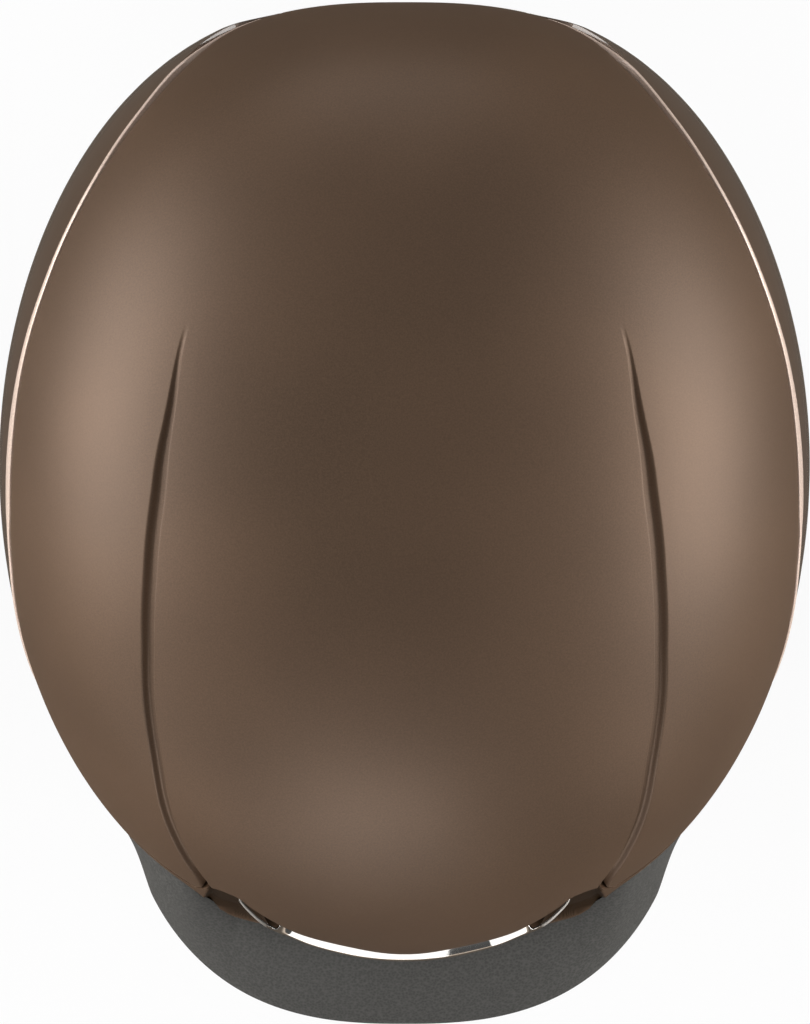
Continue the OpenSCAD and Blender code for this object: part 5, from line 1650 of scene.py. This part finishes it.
@dataclass
class Interior(Padding):
    """The foam liner, the rim edging and the comfort pads."""

    depth: float = 25.0
    rim_depth: float = 16.0
    lift: float = 0.9
    room: float = 0.4
    roof_room: float = 2.0
    vent_room: float = 2.9
    # Spans of a hill: start, length of the rise, length of the fall, end
    vent_span: tuple[float, ...] = (-32.0, 12.0, 10.0, 34.0)
    channels: int = 6
    channel_span: tuple[float, ...] = (-4.0, 10.0, 12.0, 72.0)
    channel_depth: float = 6.0
    channel_half: float = 7.0
    pad_depth: float = 6.0
    pad_gap: float = 0.6
    columns: int = 288
    top_row: float = 86.0
    rows: tuple[int, int] = (12, 44)
    # Ducts: width, height, height of their middle, distance from the middle of the helmet
    front_duct: tuple[float, float, float, float] = (20.0, 9.0, 69.5, 14.0)
    rear_duct: tuple[float, float, float, float] = (17.0, 11.0, 39.0, 12.0)
    star: tuple[float, float] = (66.0, 9.0)
    crown_share: float = 0.82
    wall_share: float = 0.84
    edging_squareness: float = 0.55

    def liner_out(self, a: Number, e: Number) -> Array:
        """Depth of the liner's outer side."""
        b = self.form.side(a)
        front = smooth((40 - b) / 12) * hill(e, *self.vent_span)
        rear = smooth((b - 148) / 12) * smooth((14 - e) / 8)
        roof = self.roof_room * np.maximum(smooth(e / 8), smooth((b - 122) / 20))
        return self.form.wall + self.room + np.maximum(roof, self.vent_room * np.maximum(front, rear))

    def liner_in(self, a: Number, e: Number, channels: bool = True) -> Array:
        """Depth of the liner's inner side, with or without its air channels."""
        down = below_belt(e)
        sector = 360 / self.channels
        away = np.abs((np.asarray(a) + 540 + sector / 2) % sector - sector / 2)
        span = math.degrees(self.channel_half / (self.form.half_width - self.depth))
        cut_in = smooth((span * 1.45 - away) / (span * 0.65)) * hill(e, *self.channel_span)
        return mix(self.depth, self.rim_depth, down) - (self.channel_depth * cut_in if channels else 0)

    def build(self) -> None:
        """Builds the liner, the edging and the pads."""
        self.liner()
        self.edging()
        self.crown_pad()
        self.wall_pad("forehead_pad", -50, 50, 9, 57, True, (-17.0, 17.0))
        for side, mirror in SIDES:
            self.wall_pad(f"side_pad_{side}", 78, 106, 26, 57, False, (92.0,), mirror)

    def liner(self) -> None:
        """The foam liner with its air channels and ducts."""
        f = self.form
        a = np.arange(self.columns) * 360 / self.columns
        low = f.rim(a, f.edging_height + self.lift)[:, None]
        below, above = self.rows
        e = np.hstack([mix(low, 0, row(0, 1, below, endpoint=False)),
                       np.broadcast_to(np.linspace(0, self.top_row, above), (len(a), above))])
        turn = a[:, None]
        solid = wall(f.at(turn, e, self.liner_out(turn, e)), f.at(turn, e, self.liner_in(turn, e)), True,
                     [f.at(0, 90, self.liner_out(0, 90)), f.at(0, 90, self.depth)])
        obj = mesh_object("foam_liner", solid, 60)
        front, rear = -f.front_length, f.rear_length
        spans = ((self.front_duct, front - 6, front + 40), (self.rear_duct, rear - 36, rear + 6))
        for (width, height, z, away), start, end in spans:
            for x in (-away, away):
                cut(obj, stadium_prism(width, height, start, end, z, x))
        round_edges(obj, Edge.FULL, 2, 60)
        self.add(obj, BLACK_FOAM, "foam", stands_for=["impact_liner"])

    def edging(self) -> None:
        """Soft edging round the rim."""
        f = self.form
        a = np.linspace(-180, 180, 480, endpoint=False)
        side, top = soft_section(24, self.edging_squareness, self.edging_squareness)
        outer, inner = f.at(a, -90, -f.edging_over), f.at(a, -90, f.edging_width - f.edging_over)
        share = (1 + side) / 2
        rings = inner[:, None, :] + (outer - inner)[:, None, :] * share[None, :, None]
        half = f.edging_height / 2
        rings[..., 2] = (f.rim_z(a) + half)[:, None] + half * top[None, :]
        obj = mesh_object("rim_edging", tube(rings.mean(1), rings, True), 70)
        self.add(obj, EDGING_RUBBER, "edging", stands_for=["edge_trim"])

    def crown_pad(self) -> None:
        """The star-shaped pad in the top of the liner."""
        f = self.form
        a = np.arange(144) * 2.5
        low = (self.star[0] + self.star[1] * np.cos(np.radians(a) * self.channels))[:, None]
        v = row(0, 1, 16)
        e = mix(low, 89.2, v)
        full = np.sqrt(np.clip(1 - (1 - v / 0.62).clip(0) ** 3, 0, 1))
        rise = self.pad_depth * self.crown_share * mix(0.3, 1, full)
        base = self.depth + self.pad_gap
        back = f.at(a[:, None], e, base)
        front = f.at(a[:, None], e, base + rise)
        poles = [f.at(0, 90, base), f.at(0, 90, base + rise[0, -1])]
        closed = wall(back, front, True, poles)
        loop = (back[:, 0] + front[:, 0]) / 2
        seams = [np.vstack([front[:, 5], front[:1, 5]])]
        seams += [sample(front[i], np.arange(16), np.linspace(5, 14, 30)) for i in range(12, 144, 24)]
        self.finish_pad("crown_cushion", "crown_pad", back, front, loop, seams,
                        lambda p: p[:, :2], closed=closed)

    def wall_pad(self, name: str, a0: float, a1: float, z0: float, z1: float, rises: bool,
                 seams_at: tuple[float, ...], mirror: bool = False) -> None:
        """A pad on the inner wall of the liner.

        Args:
            name: Its node.
            a0: Azimuth where it starts.
            a1: Azimuth where it ends.
            z0: Height of its lower edge, over the rim where it rises with it.
            z1: Height of its upper edge.
            rises: Whether its lower edge follows the rim.
            seams_at: Azimuths of its seams.
            mirror: Whether it lies on the wearer's right.
        """
        f = self.form
        a = np.linspace(a0, a1, max(24, int((a1 - a0) * 0.9)))
        low = z0 + (f.rim_z(a) if rises else 0 * a)
        v = row(0, 1, 17)
        z = mix(low[:, None], np.maximum(z1, low + 8)[:, None], v)
        e = f.elevation_of(z)
        u = column(0, 1, len(a))
        turn = a[:, None]
        full = self.pad_depth * self.wall_share * cushion(u, v)
        base = self.liner_in(turn, e, False) + self.pad_gap
        back, front = f.at(turn, e, base), f.at(turn, e, base + full)
        loop = border(back, front)
        rows = front.shape[1]
        seams = [sample(front[np.abs(a - at).argmin()], np.arange(rows), np.linspace(1.5, rows - 2.5, 40))
                 for at in seams_at]
        closed = wall(back, front)
        if mirror:
            closed = closed.mirrored()
            back, front, loop, *seams = (part * MIRROR for part in (back, front, loop, *seams))

        def lay(p: Array) -> Array:
            """Pattern round the brow, or on the side wall."""
            return np.stack([np.arctan2(p[:, 0], -p[:, 1]) * 100, p[:, 2]], -1) if rises else p[:, 1:]

        self.finish_pad(name.replace("_pad", "_cushion"), name, back, front, loop, seams, lay, closed=closed)


def cushion(u: Array, v: Array) -> Array:
    """Share of a pad's thickness: full in the middle and drawn in along its sides."""
    along, across = (np.sqrt(np.clip(1 - np.abs(2 * w - 1) ** 4, 0, 1)) for w in (u, v))
    return mix(0.4, 1, along * across)


def border(back: Array, front: Array) -> Array:
    """Closed path halfway between the edges of two nets."""
    middle = (back + front) / 2
    return np.vstack([middle[:, 0], middle[-1, 1:], middle[-2::-1, -1], middle[0, -2:0:-1]])


@dataclass
class Grilles(SubAssembly):
    """The dark grilles behind the front and the rear vents."""

    wall: float = 1.2
    face: float = 4.0
    rear_face: float = 4.6
    span: float = 16.5
    front_bars: int = 13
    rear_bars: int = 7
    front_rails: tuple[tuple[float, float], ...] = ((-4, -1.5), (4.5, 5.8), (11, 13))
    front_reach: tuple[float, float] = (-2.6, 12.2)
    rear_rail: float = 3.4
    front_bar: float = 1.5
    rear_bar: float = 2.2
    over_window: float = 3.0

    def build(self) -> None:
        """Builds both grilles, each as rails and a row of bars."""
        f = self.form
        self.grille("front", 0.0, self.span, self.front_rails, self.front_reach, self.face,
                    self.front_bars, self.front_bar)
        width, height, z = f.outlet
        over = self.over_window
        half = math.degrees((width / 2 + over) / f.rear_length) * 1.02
        low, high = (float(f.elevation_of(z + s * (height / 2 + over))) for s in (-1, 1))
        rails = [(low, low + self.rear_rail), (high - self.rear_rail, high)]
        self.grille("rear", 180.0, half, rails, (low + 1, high - 1), self.rear_face,
                    self.rear_bars, self.rear_bar)

    def grille(self, name: str, middle: float, half: float, rails: Sequence[tuple[float, float]],
               reach: tuple[float, float], depth: float, count: int, thick: float) -> None:
        """One grille.

        Args:
            name: Front or rear.
            middle: Azimuth of its middle.
            half: Azimuth to its ends.
            rails: Elevations of its rails.
            reach: Elevations where its bars end.
            depth: Depth of its face below the shell.
            count: Number of bars.
            thick: Width of a bar.
        """
        f = self.form
        a = (middle + np.linspace(-half, half, 49))[:, None]
        parts = []
        for low, high in rails:
            e = row(low, high, 5)
            parts.append(wall(f.at(a, e, depth), f.at(a, e, depth + self.wall)))
        frame_rails = mesh_object(f"{name}_grille_rails", joined(parts))
        round_edges(frame_rails, Edge.FINE)
        self.add(frame_rails, GRILLE_NYLON, "dark_mesh", stands_for=[f"{name}_vent_grille"])
        spots = middle + np.linspace(-half + 0.5, half - 0.5, count)
        mid, lows, highs = (f.at(spots, e, depth + self.wall / 2)
                            for e in ((reach[0] + reach[1]) / 2, reach[0], reach[1]))
        rise = unit(highs - lows)
        side = unit(f.at(spots + 0.5, 2, depth) - f.at(spots - 0.5, 2, depth))
        length = float(np.linalg.norm(highs - lows, axis=1).mean())
        bars = Repeat(f"{name}_grille_bars", bar_unit((self.wall - 0.15, thick, length)), GRILLE_NYLON, 0.0)
        self.add(bars.build((mid + (lows + highs) / 2) / 2, unit(np.cross(side, rise)), rise),
                 GRILLE_NYLON, "dark_mesh")


@dataclass
class Harness(SubAssembly):
    """The webbing of the chin harness."""

    width: float = 17.0
    wall: float = 1.6
    anchors: tuple[float, float] = (63.0, 118.0)
    anchor_z: float = 14.0
    seat: float = 0.9
    divider: tuple[float, float, float] = (77.0, -4.0, -68.0)
    bands_at: float = 79.999
    band_pass: float = 5.4
    buckle: tuple[float, float, float] = (0.0, -47.0, -118.0)
    buckle_end: float = 27.3
    eye_end: float = 45.3
    drop: float = 30.0
    run: float = 24.0
    samples: int = 120
    bow: float = 0.25
    stitch_pitch: float = 2.6
    row_shift: float = 1.6
    thread: Finish = STRAP_THREAD

    def build(self) -> None:
        """Builds the six bands with their stitches."""
        d = np.array(self.divider)
        layer = self.wall / 2 + 0.2
        top, out = self.anchor(self.anchors[0])
        front = [top + [0, 0, 9], top, top - [0, 0, 9], d + [4.4, -40.5, 60], d + [3, -30, 42],
                 d + [-0.4, -14, 22], d + [-layer, -5, 12], d + [-layer, -1, -4]]
        sideways = (1, 0, 0)
        front_faces = [out, out, out, (0.97, -0.24, 0), (0.99, -0.1, 0)] + [sideways] * 3
        top, out = self.anchor(self.anchors[1])
        x = self.bands_at + self.band_pass
        rear = [top + [0, 0, 9], top, top - [0, 0, 9], d + [6.6, 47, 60], np.array([x, d[1] + 37, d[2] + 41]),
                np.array([x - 0.2, d[1] + 28, d[2] + 30]), d + [2.6, 17, 22], d + [layer, 4.5, 12],
                d + [layer, 0.5, -4]]
        rear_faces = [out, out, out, (0.98, 0.2, 0), (0.99, 0.1, 0)] + [sideways] * 4
        for side, mirror in SIDES:
            self.band(f"front_strap_{side}", front, front_faces, mirror, [0.985])
            self.band(f"rear_strap_{side}", rear, rear_faces, mirror, [0.985])
        self.band("chin_strap_left", *self.chin(self.buckle_end), False, [0.04, 0.93])
        self.band("chin_strap_right", *self.chin(self.eye_end), True, [0.05, 0.92], True)

    def anchor(self, a: float) -> tuple[Array, Array]:
        """Middle of the band at an anchor, and the direction out through the wall."""
        f = self.form
        e = float(f.elevation_of(self.anchor_z))
        inner = Interior().liner_in(a, e, False)
        ahead = f.at(a + 1, e, 25.0) - f.at(a - 1, e, 25.0)
        out = -unit(np.array([-ahead[1], ahead[0], 0.0]))
        return f.at(a, e, inner) - out * (self.seat + self.wall / 2), out

    def chin(self, end_x: float) -> tuple[list[Array], list[tuple[float, float, float]]]:
        """Path of a chin band, and the directions of its face.

        Args:
            end_x: Side place where it enters the buckle or the eye.

        Returns:
            Points and directions.
        """
        d = np.array(self.divider)
        p = d + [0, -1, -12.5]
        end = np.array([end_x, self.buckle[1], self.buckle[2]])
        q = end + [4.0, 0, 0]
        bend = [p, p + [0, -self.drop / 5, -self.drop], q + [self.run, 0, 0], q]
        t = column(0, 1, 10)
        curve = (bend[0] * (1 - t) ** 3 + bend[1] * 3 * t * (1 - t) ** 2 + bend[2] * 3 * t**2 * (1 - t)
                 + bend[3] * t**3)
        s = smooth(np.clip(np.arange(-1, 11), 0, None) / 8)
        faces = list(zip((1 - s).tolist(), (-0.8 * s * (1 - s)).tolist(), (-s).tolist()))
        return [d + [0, -0.5, -5], *curve, end], faces

    def band(self, name: str, points: Sequence[Array], faces: Sequence[Sequence[float]], mirror: bool,
             sewn: Sequence[float], bends: bool = False) -> None:
        """One band of webbing.

        Args:
            name: Its node.
            points: Path on the wearer's left.
            faces: Direction of its face at each of them.
            mirror: Whether it lies on the wearer's right.
            sewn: Shares of its length where rows of stitches cross it.
            bends: Whether it bends between the helmet and the buckle's toothed strip.
        """
        flip = MIRROR if mirror else np.ones(3)
        keys = np.array(points) * flip
        path = spline(keys, self.samples)
        at = run_length(keys) / run_length(keys)[-1]
        u = np.linspace(0, 1, self.samples)
        face = unit(sample(np.array(faces) * flip, at, u))
        ahead, across, out = frame_of(path, face)
        if name.startswith(("front", "rear")):
            path = path - out * self.bow * np.sin(np.pi * u)[:, None]
        wide, thick = soft_section(36, 0.35, 0.5)
        wide, thick = self.width / 2 * wide, self.wall / 2 * thick
        rings = path[:, None] + wide[None, :, None] * across[:, None] + thick[None, :, None] * out[:, None]
        solid = tube(path, rings)
        turned = not np.allclose(solid.points.reshape(rings.shape)[0, 0], rings[0, 0])
        order, run = wide[::-1] if turned else wide, run_length(path)
        solid.pattern = np.stack(np.broadcast_arrays(order[None, :], run[:, None]), -1).reshape(-1, 2)
        obj = mesh_object(name + "_band", solid, 60)
        offsets = np.arange(-self.width / 2 + 2, self.width / 2 - 1.5, self.stitch_pitch)
        spots, along, facing = [], [], []
        for i in [int(round(share * (self.samples - 1))) for share in sewn]:
            for side, shift in ((1, -1), (1, 1), (-1, -1), (-1, 1)):
                line = path[i] + ahead[i] * shift * self.row_shift + offsets[:, None] * across[i]
                spots.append(line + side * (self.wall / 2 + 0.02) * out[i])
                along.append(np.broadcast_to(across[i], line.shape))
                facing.append(np.broadcast_to(side * out[i], line.shape))
        seams = Repeat(name + "_seams", stitch_unit(1.8, 0.45), self.thread).build(
            np.vstack(spots), np.vstack(along), np.vstack(facing))
        ends = (tuple(path[10] * MM), tuple(path[-14] * MM)) if bends else None
        self.add(obj, HARNESS_WEB, "webbing", "helmet", [name], ends)
        self.add(seams, self.thread, "webbing", "helmet", ends=ends)


@dataclass
class SoftFit(Padding):
    """The pads on the buckle and on the rear cradle."""

    chin_size: tuple[float, float, float] = (64.0, 28.0, 5.0)
    chin_x: float = -3.0
    buckle_front: float = 47.0
    chin_base: float = -112.9
    arc_y: float = 12.0
    arc_radius: float = 75.99
    arc_half: float = 24.0
    dial_z: float = -22.0
    pad_half: float = 14.5
    pad_rise: float = 5.0
    share: float = 0.84
    seams_at: tuple[int, int] = (13, 27)
    cap: float = 1.0

    def build(self) -> None:
        """Builds both pads."""
        u = column(0, 1, 41)
        v = row(0, 1, 21)
        rise = cushion(u, v) * self.share
        width, depth, height = self.chin_size

        def chin(k: float) -> Array:
            """Net of the chin pad at a share of its height."""
            x, y = (u - 0.5) * width + self.chin_x, (v - 0.5) * depth - self.buckle_front
            return np.stack(np.broadcast_arrays(x, y, self.chin_base + k * height * rise), -1)

        back, front = chin(0.0), chin(1.0)
        self.pad("chin_pad", "chin_cushion", back, front, wall(front, back), "helmet", lambda p: p[:, :2])
        g = np.radians(self.arc_half * (1 - 2 * u))

        def rest(k: float) -> Array:
            """Net of the cradle pad at a share of its thickness."""
            q = self.arc_radius - k * self.pad_rise * rise
            return np.stack(np.broadcast_arrays(q * np.sin(g), self.arc_y + q * np.cos(g),
                                                self.dial_z + (v - 0.5) * 2 * self.pad_half), -1)

        back, front = rest(0.0), rest(1.0)
        self.pad("cradle_pad", "nape_cushion", back, front, wall(back, front), "cradle", lambda p: p[:, ::2])

    def pad(self, node: str, name: str, back: Array, front: Array, solid: Solid, body: str,
            lay: Callable[[Array], Array]) -> None:
        """One pad with two seams across it."""
        lines = [spline(front[i, 2:-2], 40) for i in self.seams_at]
        self.finish_pad(name, node, back, front, border(back, front), lines, lay, "pad", body, solid,
                        self.cap)


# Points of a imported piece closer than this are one, and faces that turn by fewer degrees are one
WELD = 0.01
FLAT = 0.6
# Faces of a rounded piece narrower than this are taken out
SLIVER = 0.002


@contextmanager
def editing(mesh: bpy.types.Mesh) -> Iterator[bmesh.types.BMesh]:
    """Opens a mesh for editing and writes it back."""
    soft = bmesh.new()
    soft.from_mesh(mesh)
    yield soft
    soft.to_mesh(mesh)
    soft.free()


def refine(node: str, edge: Edge, angle: float = 32.0) -> Object:
    """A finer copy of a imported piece, with rounded edges.

    Args:
        node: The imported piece.
        edge: How far its edges are rounded.
        angle: Only edges that turn by more than this many degrees are rounded.

    Returns:
        The copy.
    """
    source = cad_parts[node]
    mesh = source.data.copy()
    mesh.transform(source.matrix_world)
    with editing(mesh) as soft:
        bmesh.ops.remove_doubles(soft, verts=soft.verts, dist=WELD * MM)
        bmesh.ops.dissolve_limit(soft, angle_limit=math.radians(FLAT), verts=soft.verts, edges=soft.edges)
        bmesh.ops.recalc_face_normals(soft, faces=soft.faces)
    for name in [layer.name for layer in mesh.attributes if layer.name == "custom_normal"]:
        mesh.attributes.remove(mesh.attributes[name])
    obj = link_mesh(node + "_finished", mesh, angle)
    round_edges(obj, edge, angle=angle)
    settle(obj)
    with editing(obj.data) as soft:
        bmesh.ops.remove_doubles(soft, verts=soft.verts, dist=SLIVER * MM)
        bmesh.ops.dissolve_degenerate(soft, edges=soft.edges, dist=SLIVER * MM)
        loose = [face for face in soft.faces if all(not edge.is_manifold for edge in face.edges)]
        bmesh.ops.delete(soft, geom=loose, context="FACES")
    return obj


class Part(Enum):
    """The small hard pieces: finish, edge, slot and body of each."""

    strap_divider_left = (SATIN_NYLON, Edge.SOFT, "hard_black", "helmet")
    strap_divider_right = (SATIN_NYLON, Edge.SOFT, "hard_black", "helmet")
    buckle_body = (SATIN_NYLON, Edge.SOFT, "hard_black", "helmet")
    buckle_lever = (SATIN_NYLON, Edge.FINE, "hard_black", "lever")
    release_tab = (RED_NYLON, Edge.SOFT, "tab", "lever")
    buckle_tongue = (SATIN_NYLON, Edge.FINE, "hard_black", "tongue")
    lever_pin = (ZINC_STEEL, Edge.FINE, "steel", "helmet")
    anchor_plugs = (SATIN_NYLON, Edge.FINE, "hard_black", "helmet")
    anchor_washers = (ZINC_STEEL, Edge.FINE, "steel", "helmet")
    anchor_screws = (ZINC_STEEL, Edge.FINE, "steel", "helmet")
    cradle_frame = (SATIN_NYLON, Edge.SOFT, "hard_black", "cradle")
    housing_cover = (SATIN_NYLON, Edge.SOFT, "hard_black", "cradle")
    cradle_pins = (ZINC_STEEL, Edge.FINE, "steel", "helmet")
    adjuster_dial = (DIAL_RUBBER, Edge.FINE, "dial", "dial")
    dial_pinion = (NATURAL_ACETAL, Edge.FINE, "pinion", "dial")
    band_left = (SOFT_GREY_NYLON, Edge.FINE, "hard_black", "band_left")
    band_right = (SOFT_GREY_NYLON, Edge.FINE, "hard_black", "band_right")


@dataclass
class Hardware(SubAssembly):
    """The buckle, the dividers, the anchors, the rear cradle and the size dial."""

    waist: float = 0.25
    rib: float = 0.22
    rib_half: float = 0.28
    corner: float = 0.12

    def build(self) -> None:
        """Refines and dresses each hard piece."""
        for node, part in Part.__members__.items():
            finish, edge, slot, body = part.value
            self.add(refine(node, edge), finish, slot, body, [node])
        self.spring()

    def spring(self) -> None:
        """The waisted leaf spring under the lever, with a rib pressed along it."""
        low, high = (np.array(corner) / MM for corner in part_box("lever_spring"))
        middle, half = (low + high) / 2, (high - low) / 2
        u, v = column(1, -1, 49), row(-1, 1, 17)
        slim = (1 - self.waist * bell(u / 0.7)) * (1 - self.corner * np.abs(u) ** 14)
        x = middle[0] + half[0] * v * slim
        y = middle[1] + half[1] * u + 0 * v
        z = low[2] + self.rib * bell(v / self.rib_half) * smooth((0.8 - np.abs(u)) / 0.25)
        leaf = wall(np.stack([x, y, z + 2 * half[2]], -1), np.stack([x, y, z], -1))
        obj = mesh_object("leaf_spring", leaf)
        round_edges(obj, Edge.HAIR)
        self.add(obj, SPRING_STEEL, "steel", "helmet", ["lever_spring"])


@dataclass
class Studio:
    """Plain floor, soft lamps and the camera above the helmet."""

    distance: float = 1500.0
    scale: float = 0.2748
    view_x: float = 404.5
    view_y: float = 465.0
    image: tuple[int, int] = (810, 1024)
    floor_z: float = -128.0
    # Painted reflection of the floor in glossy surfaces: its glow near and far, where it runs between the two
    # (darker near the middle, as painted shadow), and its warm tint
    mirror_level: float = 0.12
    mirror_far: float = 0.7
    mirror_run: tuple[float, float] = (0.3, 0.75)
    mirror_tint: tuple[float, float, float, float] = (1.0, 0.84, 0.7, 1.0)
    floor_glow: float = 0.82
    floor_size: float = 4000.0
    sky: tuple[float, float] = (0.1, 0.38)

    def build(self) -> None:
        """Builds the floor, the lamps, the world and the camera."""
        self.floor()
        self.lamps()
        self.world()
        self.camera()
        bpy.context.scene.view_settings.view_transform = "Standard"

    def floor(self) -> None:
        """A pale floor that keeps a soft shadow. Glossy rays see a painted reflection of it instead: a dim
        warm glow, darker near the middle as painted shadow.
        """
        corners = self.floor_size * np.array([[-1, -1, 0], [1, -1, 0], [1, 1, 0], [-1, 1, 0]])
        obj = mesh_object("floor", Solid(corners + [0, 0, self.floor_z], [(0, 1, 2, 3)]))
        g = Graph("floor_paint")
        g.finish(Base_Color=(0.9, 0.9, 0.9, 1.0), Roughness=0.8)
        seen, glossy, through = (g.node("ShaderNodeLightPath", output=f"Is {kind} Ray")
                                 for kind in ("Camera", "Glossy", "Transmission"))
        # Painted shadow: the reflected glow is dimmer near the middle
        away = g.place().size().step(*self.mirror_run, self.mirror_level, self.mirror_far)
        glow = g.node("ShaderNodeEmission", None, {"Color": (1.0, 1.0, 1.0, 1.0)})
        # Painted reflection: glossy rays see this warm glow in place of the lit floor
        painted_reflection = g.node("ShaderNodeEmission", None, {"Color": self.mirror_tint, "Strength": away})
        paint = Wire(g, g.shader.outputs[0])
        mirrored = g.node("ShaderNodeMixShader", None, {0: glossy, 1: paint, 2: painted_reflection})
        share = (seen + through).least(1.0) * self.floor_glow
        g.feed(g.surface, g.node("ShaderNodeMixShader", None, {0: share, 1: mirrored, 2: glow}))
        obj.data.materials.append(g.owner)

    def lamp(self, name: str, turn: float, rise: float, away: float, size: tuple[float, float],
             power: float) -> None:
        """A soft box that looks at the helmet.

        Args:
            name: Name of the lamp.
            turn: Azimuth from +X in degrees.
            rise: Height above the horizon in degrees.
            away: Distance in metres.
            size: Width and height in metres.
            power: Power in watts.
        """
        data = bpy.data.lights.new(name, "AREA")
        data.shape = "RECTANGLE"
        data.size, data.size_y = size
        data.energy = power
        obj = bpy.data.objects.new(name, data)
        t, r = math.radians(turn), math.radians(rise)
        obj.location = (away * math.cos(t) * math.cos(r), away * math.sin(t) * math.cos(r),
                        0.06 + away * math.sin(r))
        obj.rotation_euler = (math.pi / 2 - r, 0, t + math.pi / 2)
        bpy.context.scene.collection.objects.link(obj)

    def lamps(self) -> None:
        """Two large soft boxes at the sides and fainter ones in front and behind."""
        self.lamp("left_box", 171, 14, 1.5, (1.2, 0.8), 23.5)
        self.lamp("right_box", 3, 14, 1.5, (1.2, 0.8), 22.8)
        self.lamp("front_box", -97, 23, 1.6, (0.6, 0.5), 6.5)
        self.lamp("rear_box", 95, 8, 1.7, (0.9, 0.4), 3.6)
        self.lamp("left_low", -142, 3, 1.5, (0.5, 0.5), 1.3)
        self.lamp("right_low", -38, 3, 1.5, (0.5, 0.5), 1.4)
        self.lamp("front_card", -102.5, 1, 1.6, (1.1, 0.7), 3.4)

    def world(self) -> None:
        """White all round and darker overhead, as a studio is."""
        g = Graph("studio", True)
        bpy.context.scene.world = g.owner
        way = g.node("ShaderNodeTexCoord", output="Generated")
        up = g.node("ShaderNodeSeparateXYZ", None, {0: way}, 2)
        light = g.node("ShaderNodeBackground", None, {"Strength": up.step(0.0, 0.5, *self.sky)})
        camera = g.node("ShaderNodeLightPath", output="Is Camera Ray")
        white = g.node("ShaderNodeBackground")
        g.feed(g.surface, g.node("ShaderNodeMixShader", None, {0: camera, 1: light, 2: white}))

    def camera(self) -> None:
        """The camera, straight above, framed as the photograph is."""
        data = bpy.data.cameras.new("camera")
        obj = bpy.data.objects.new("camera", data)
        width, height = self.image
        level = FORM.belt_height
        depth = self.distance - level
        obj.location = (0, 0, self.distance * MM)
        data.shift_x = (width / 2 - self.view_x) / height
        data.shift_y = (self.view_y - height / 2) / height
        data.sensor_fit = "VERTICAL"
        data.sensor_height = 24.0
        data.lens = data.sensor_height * depth / (height * self.scale)
        data.clip_end = 20.0
        bpy.context.scene.collection.objects.link(obj)
        bpy.context.scene.camera = obj


def main() -> None:
    """Builds every sub-assembly in order."""
    logging.basicConfig(level=logging.INFO, format="%(name)s: %(message)s")
    for group in (OuterShell(), FrontTrim(), Grilles(), Peak(), Interior(), Harness(), SoftFit(), Hardware()):
        group.build()
        group.report()
    Studio().build()


if __name__ == "__main__":
    main()
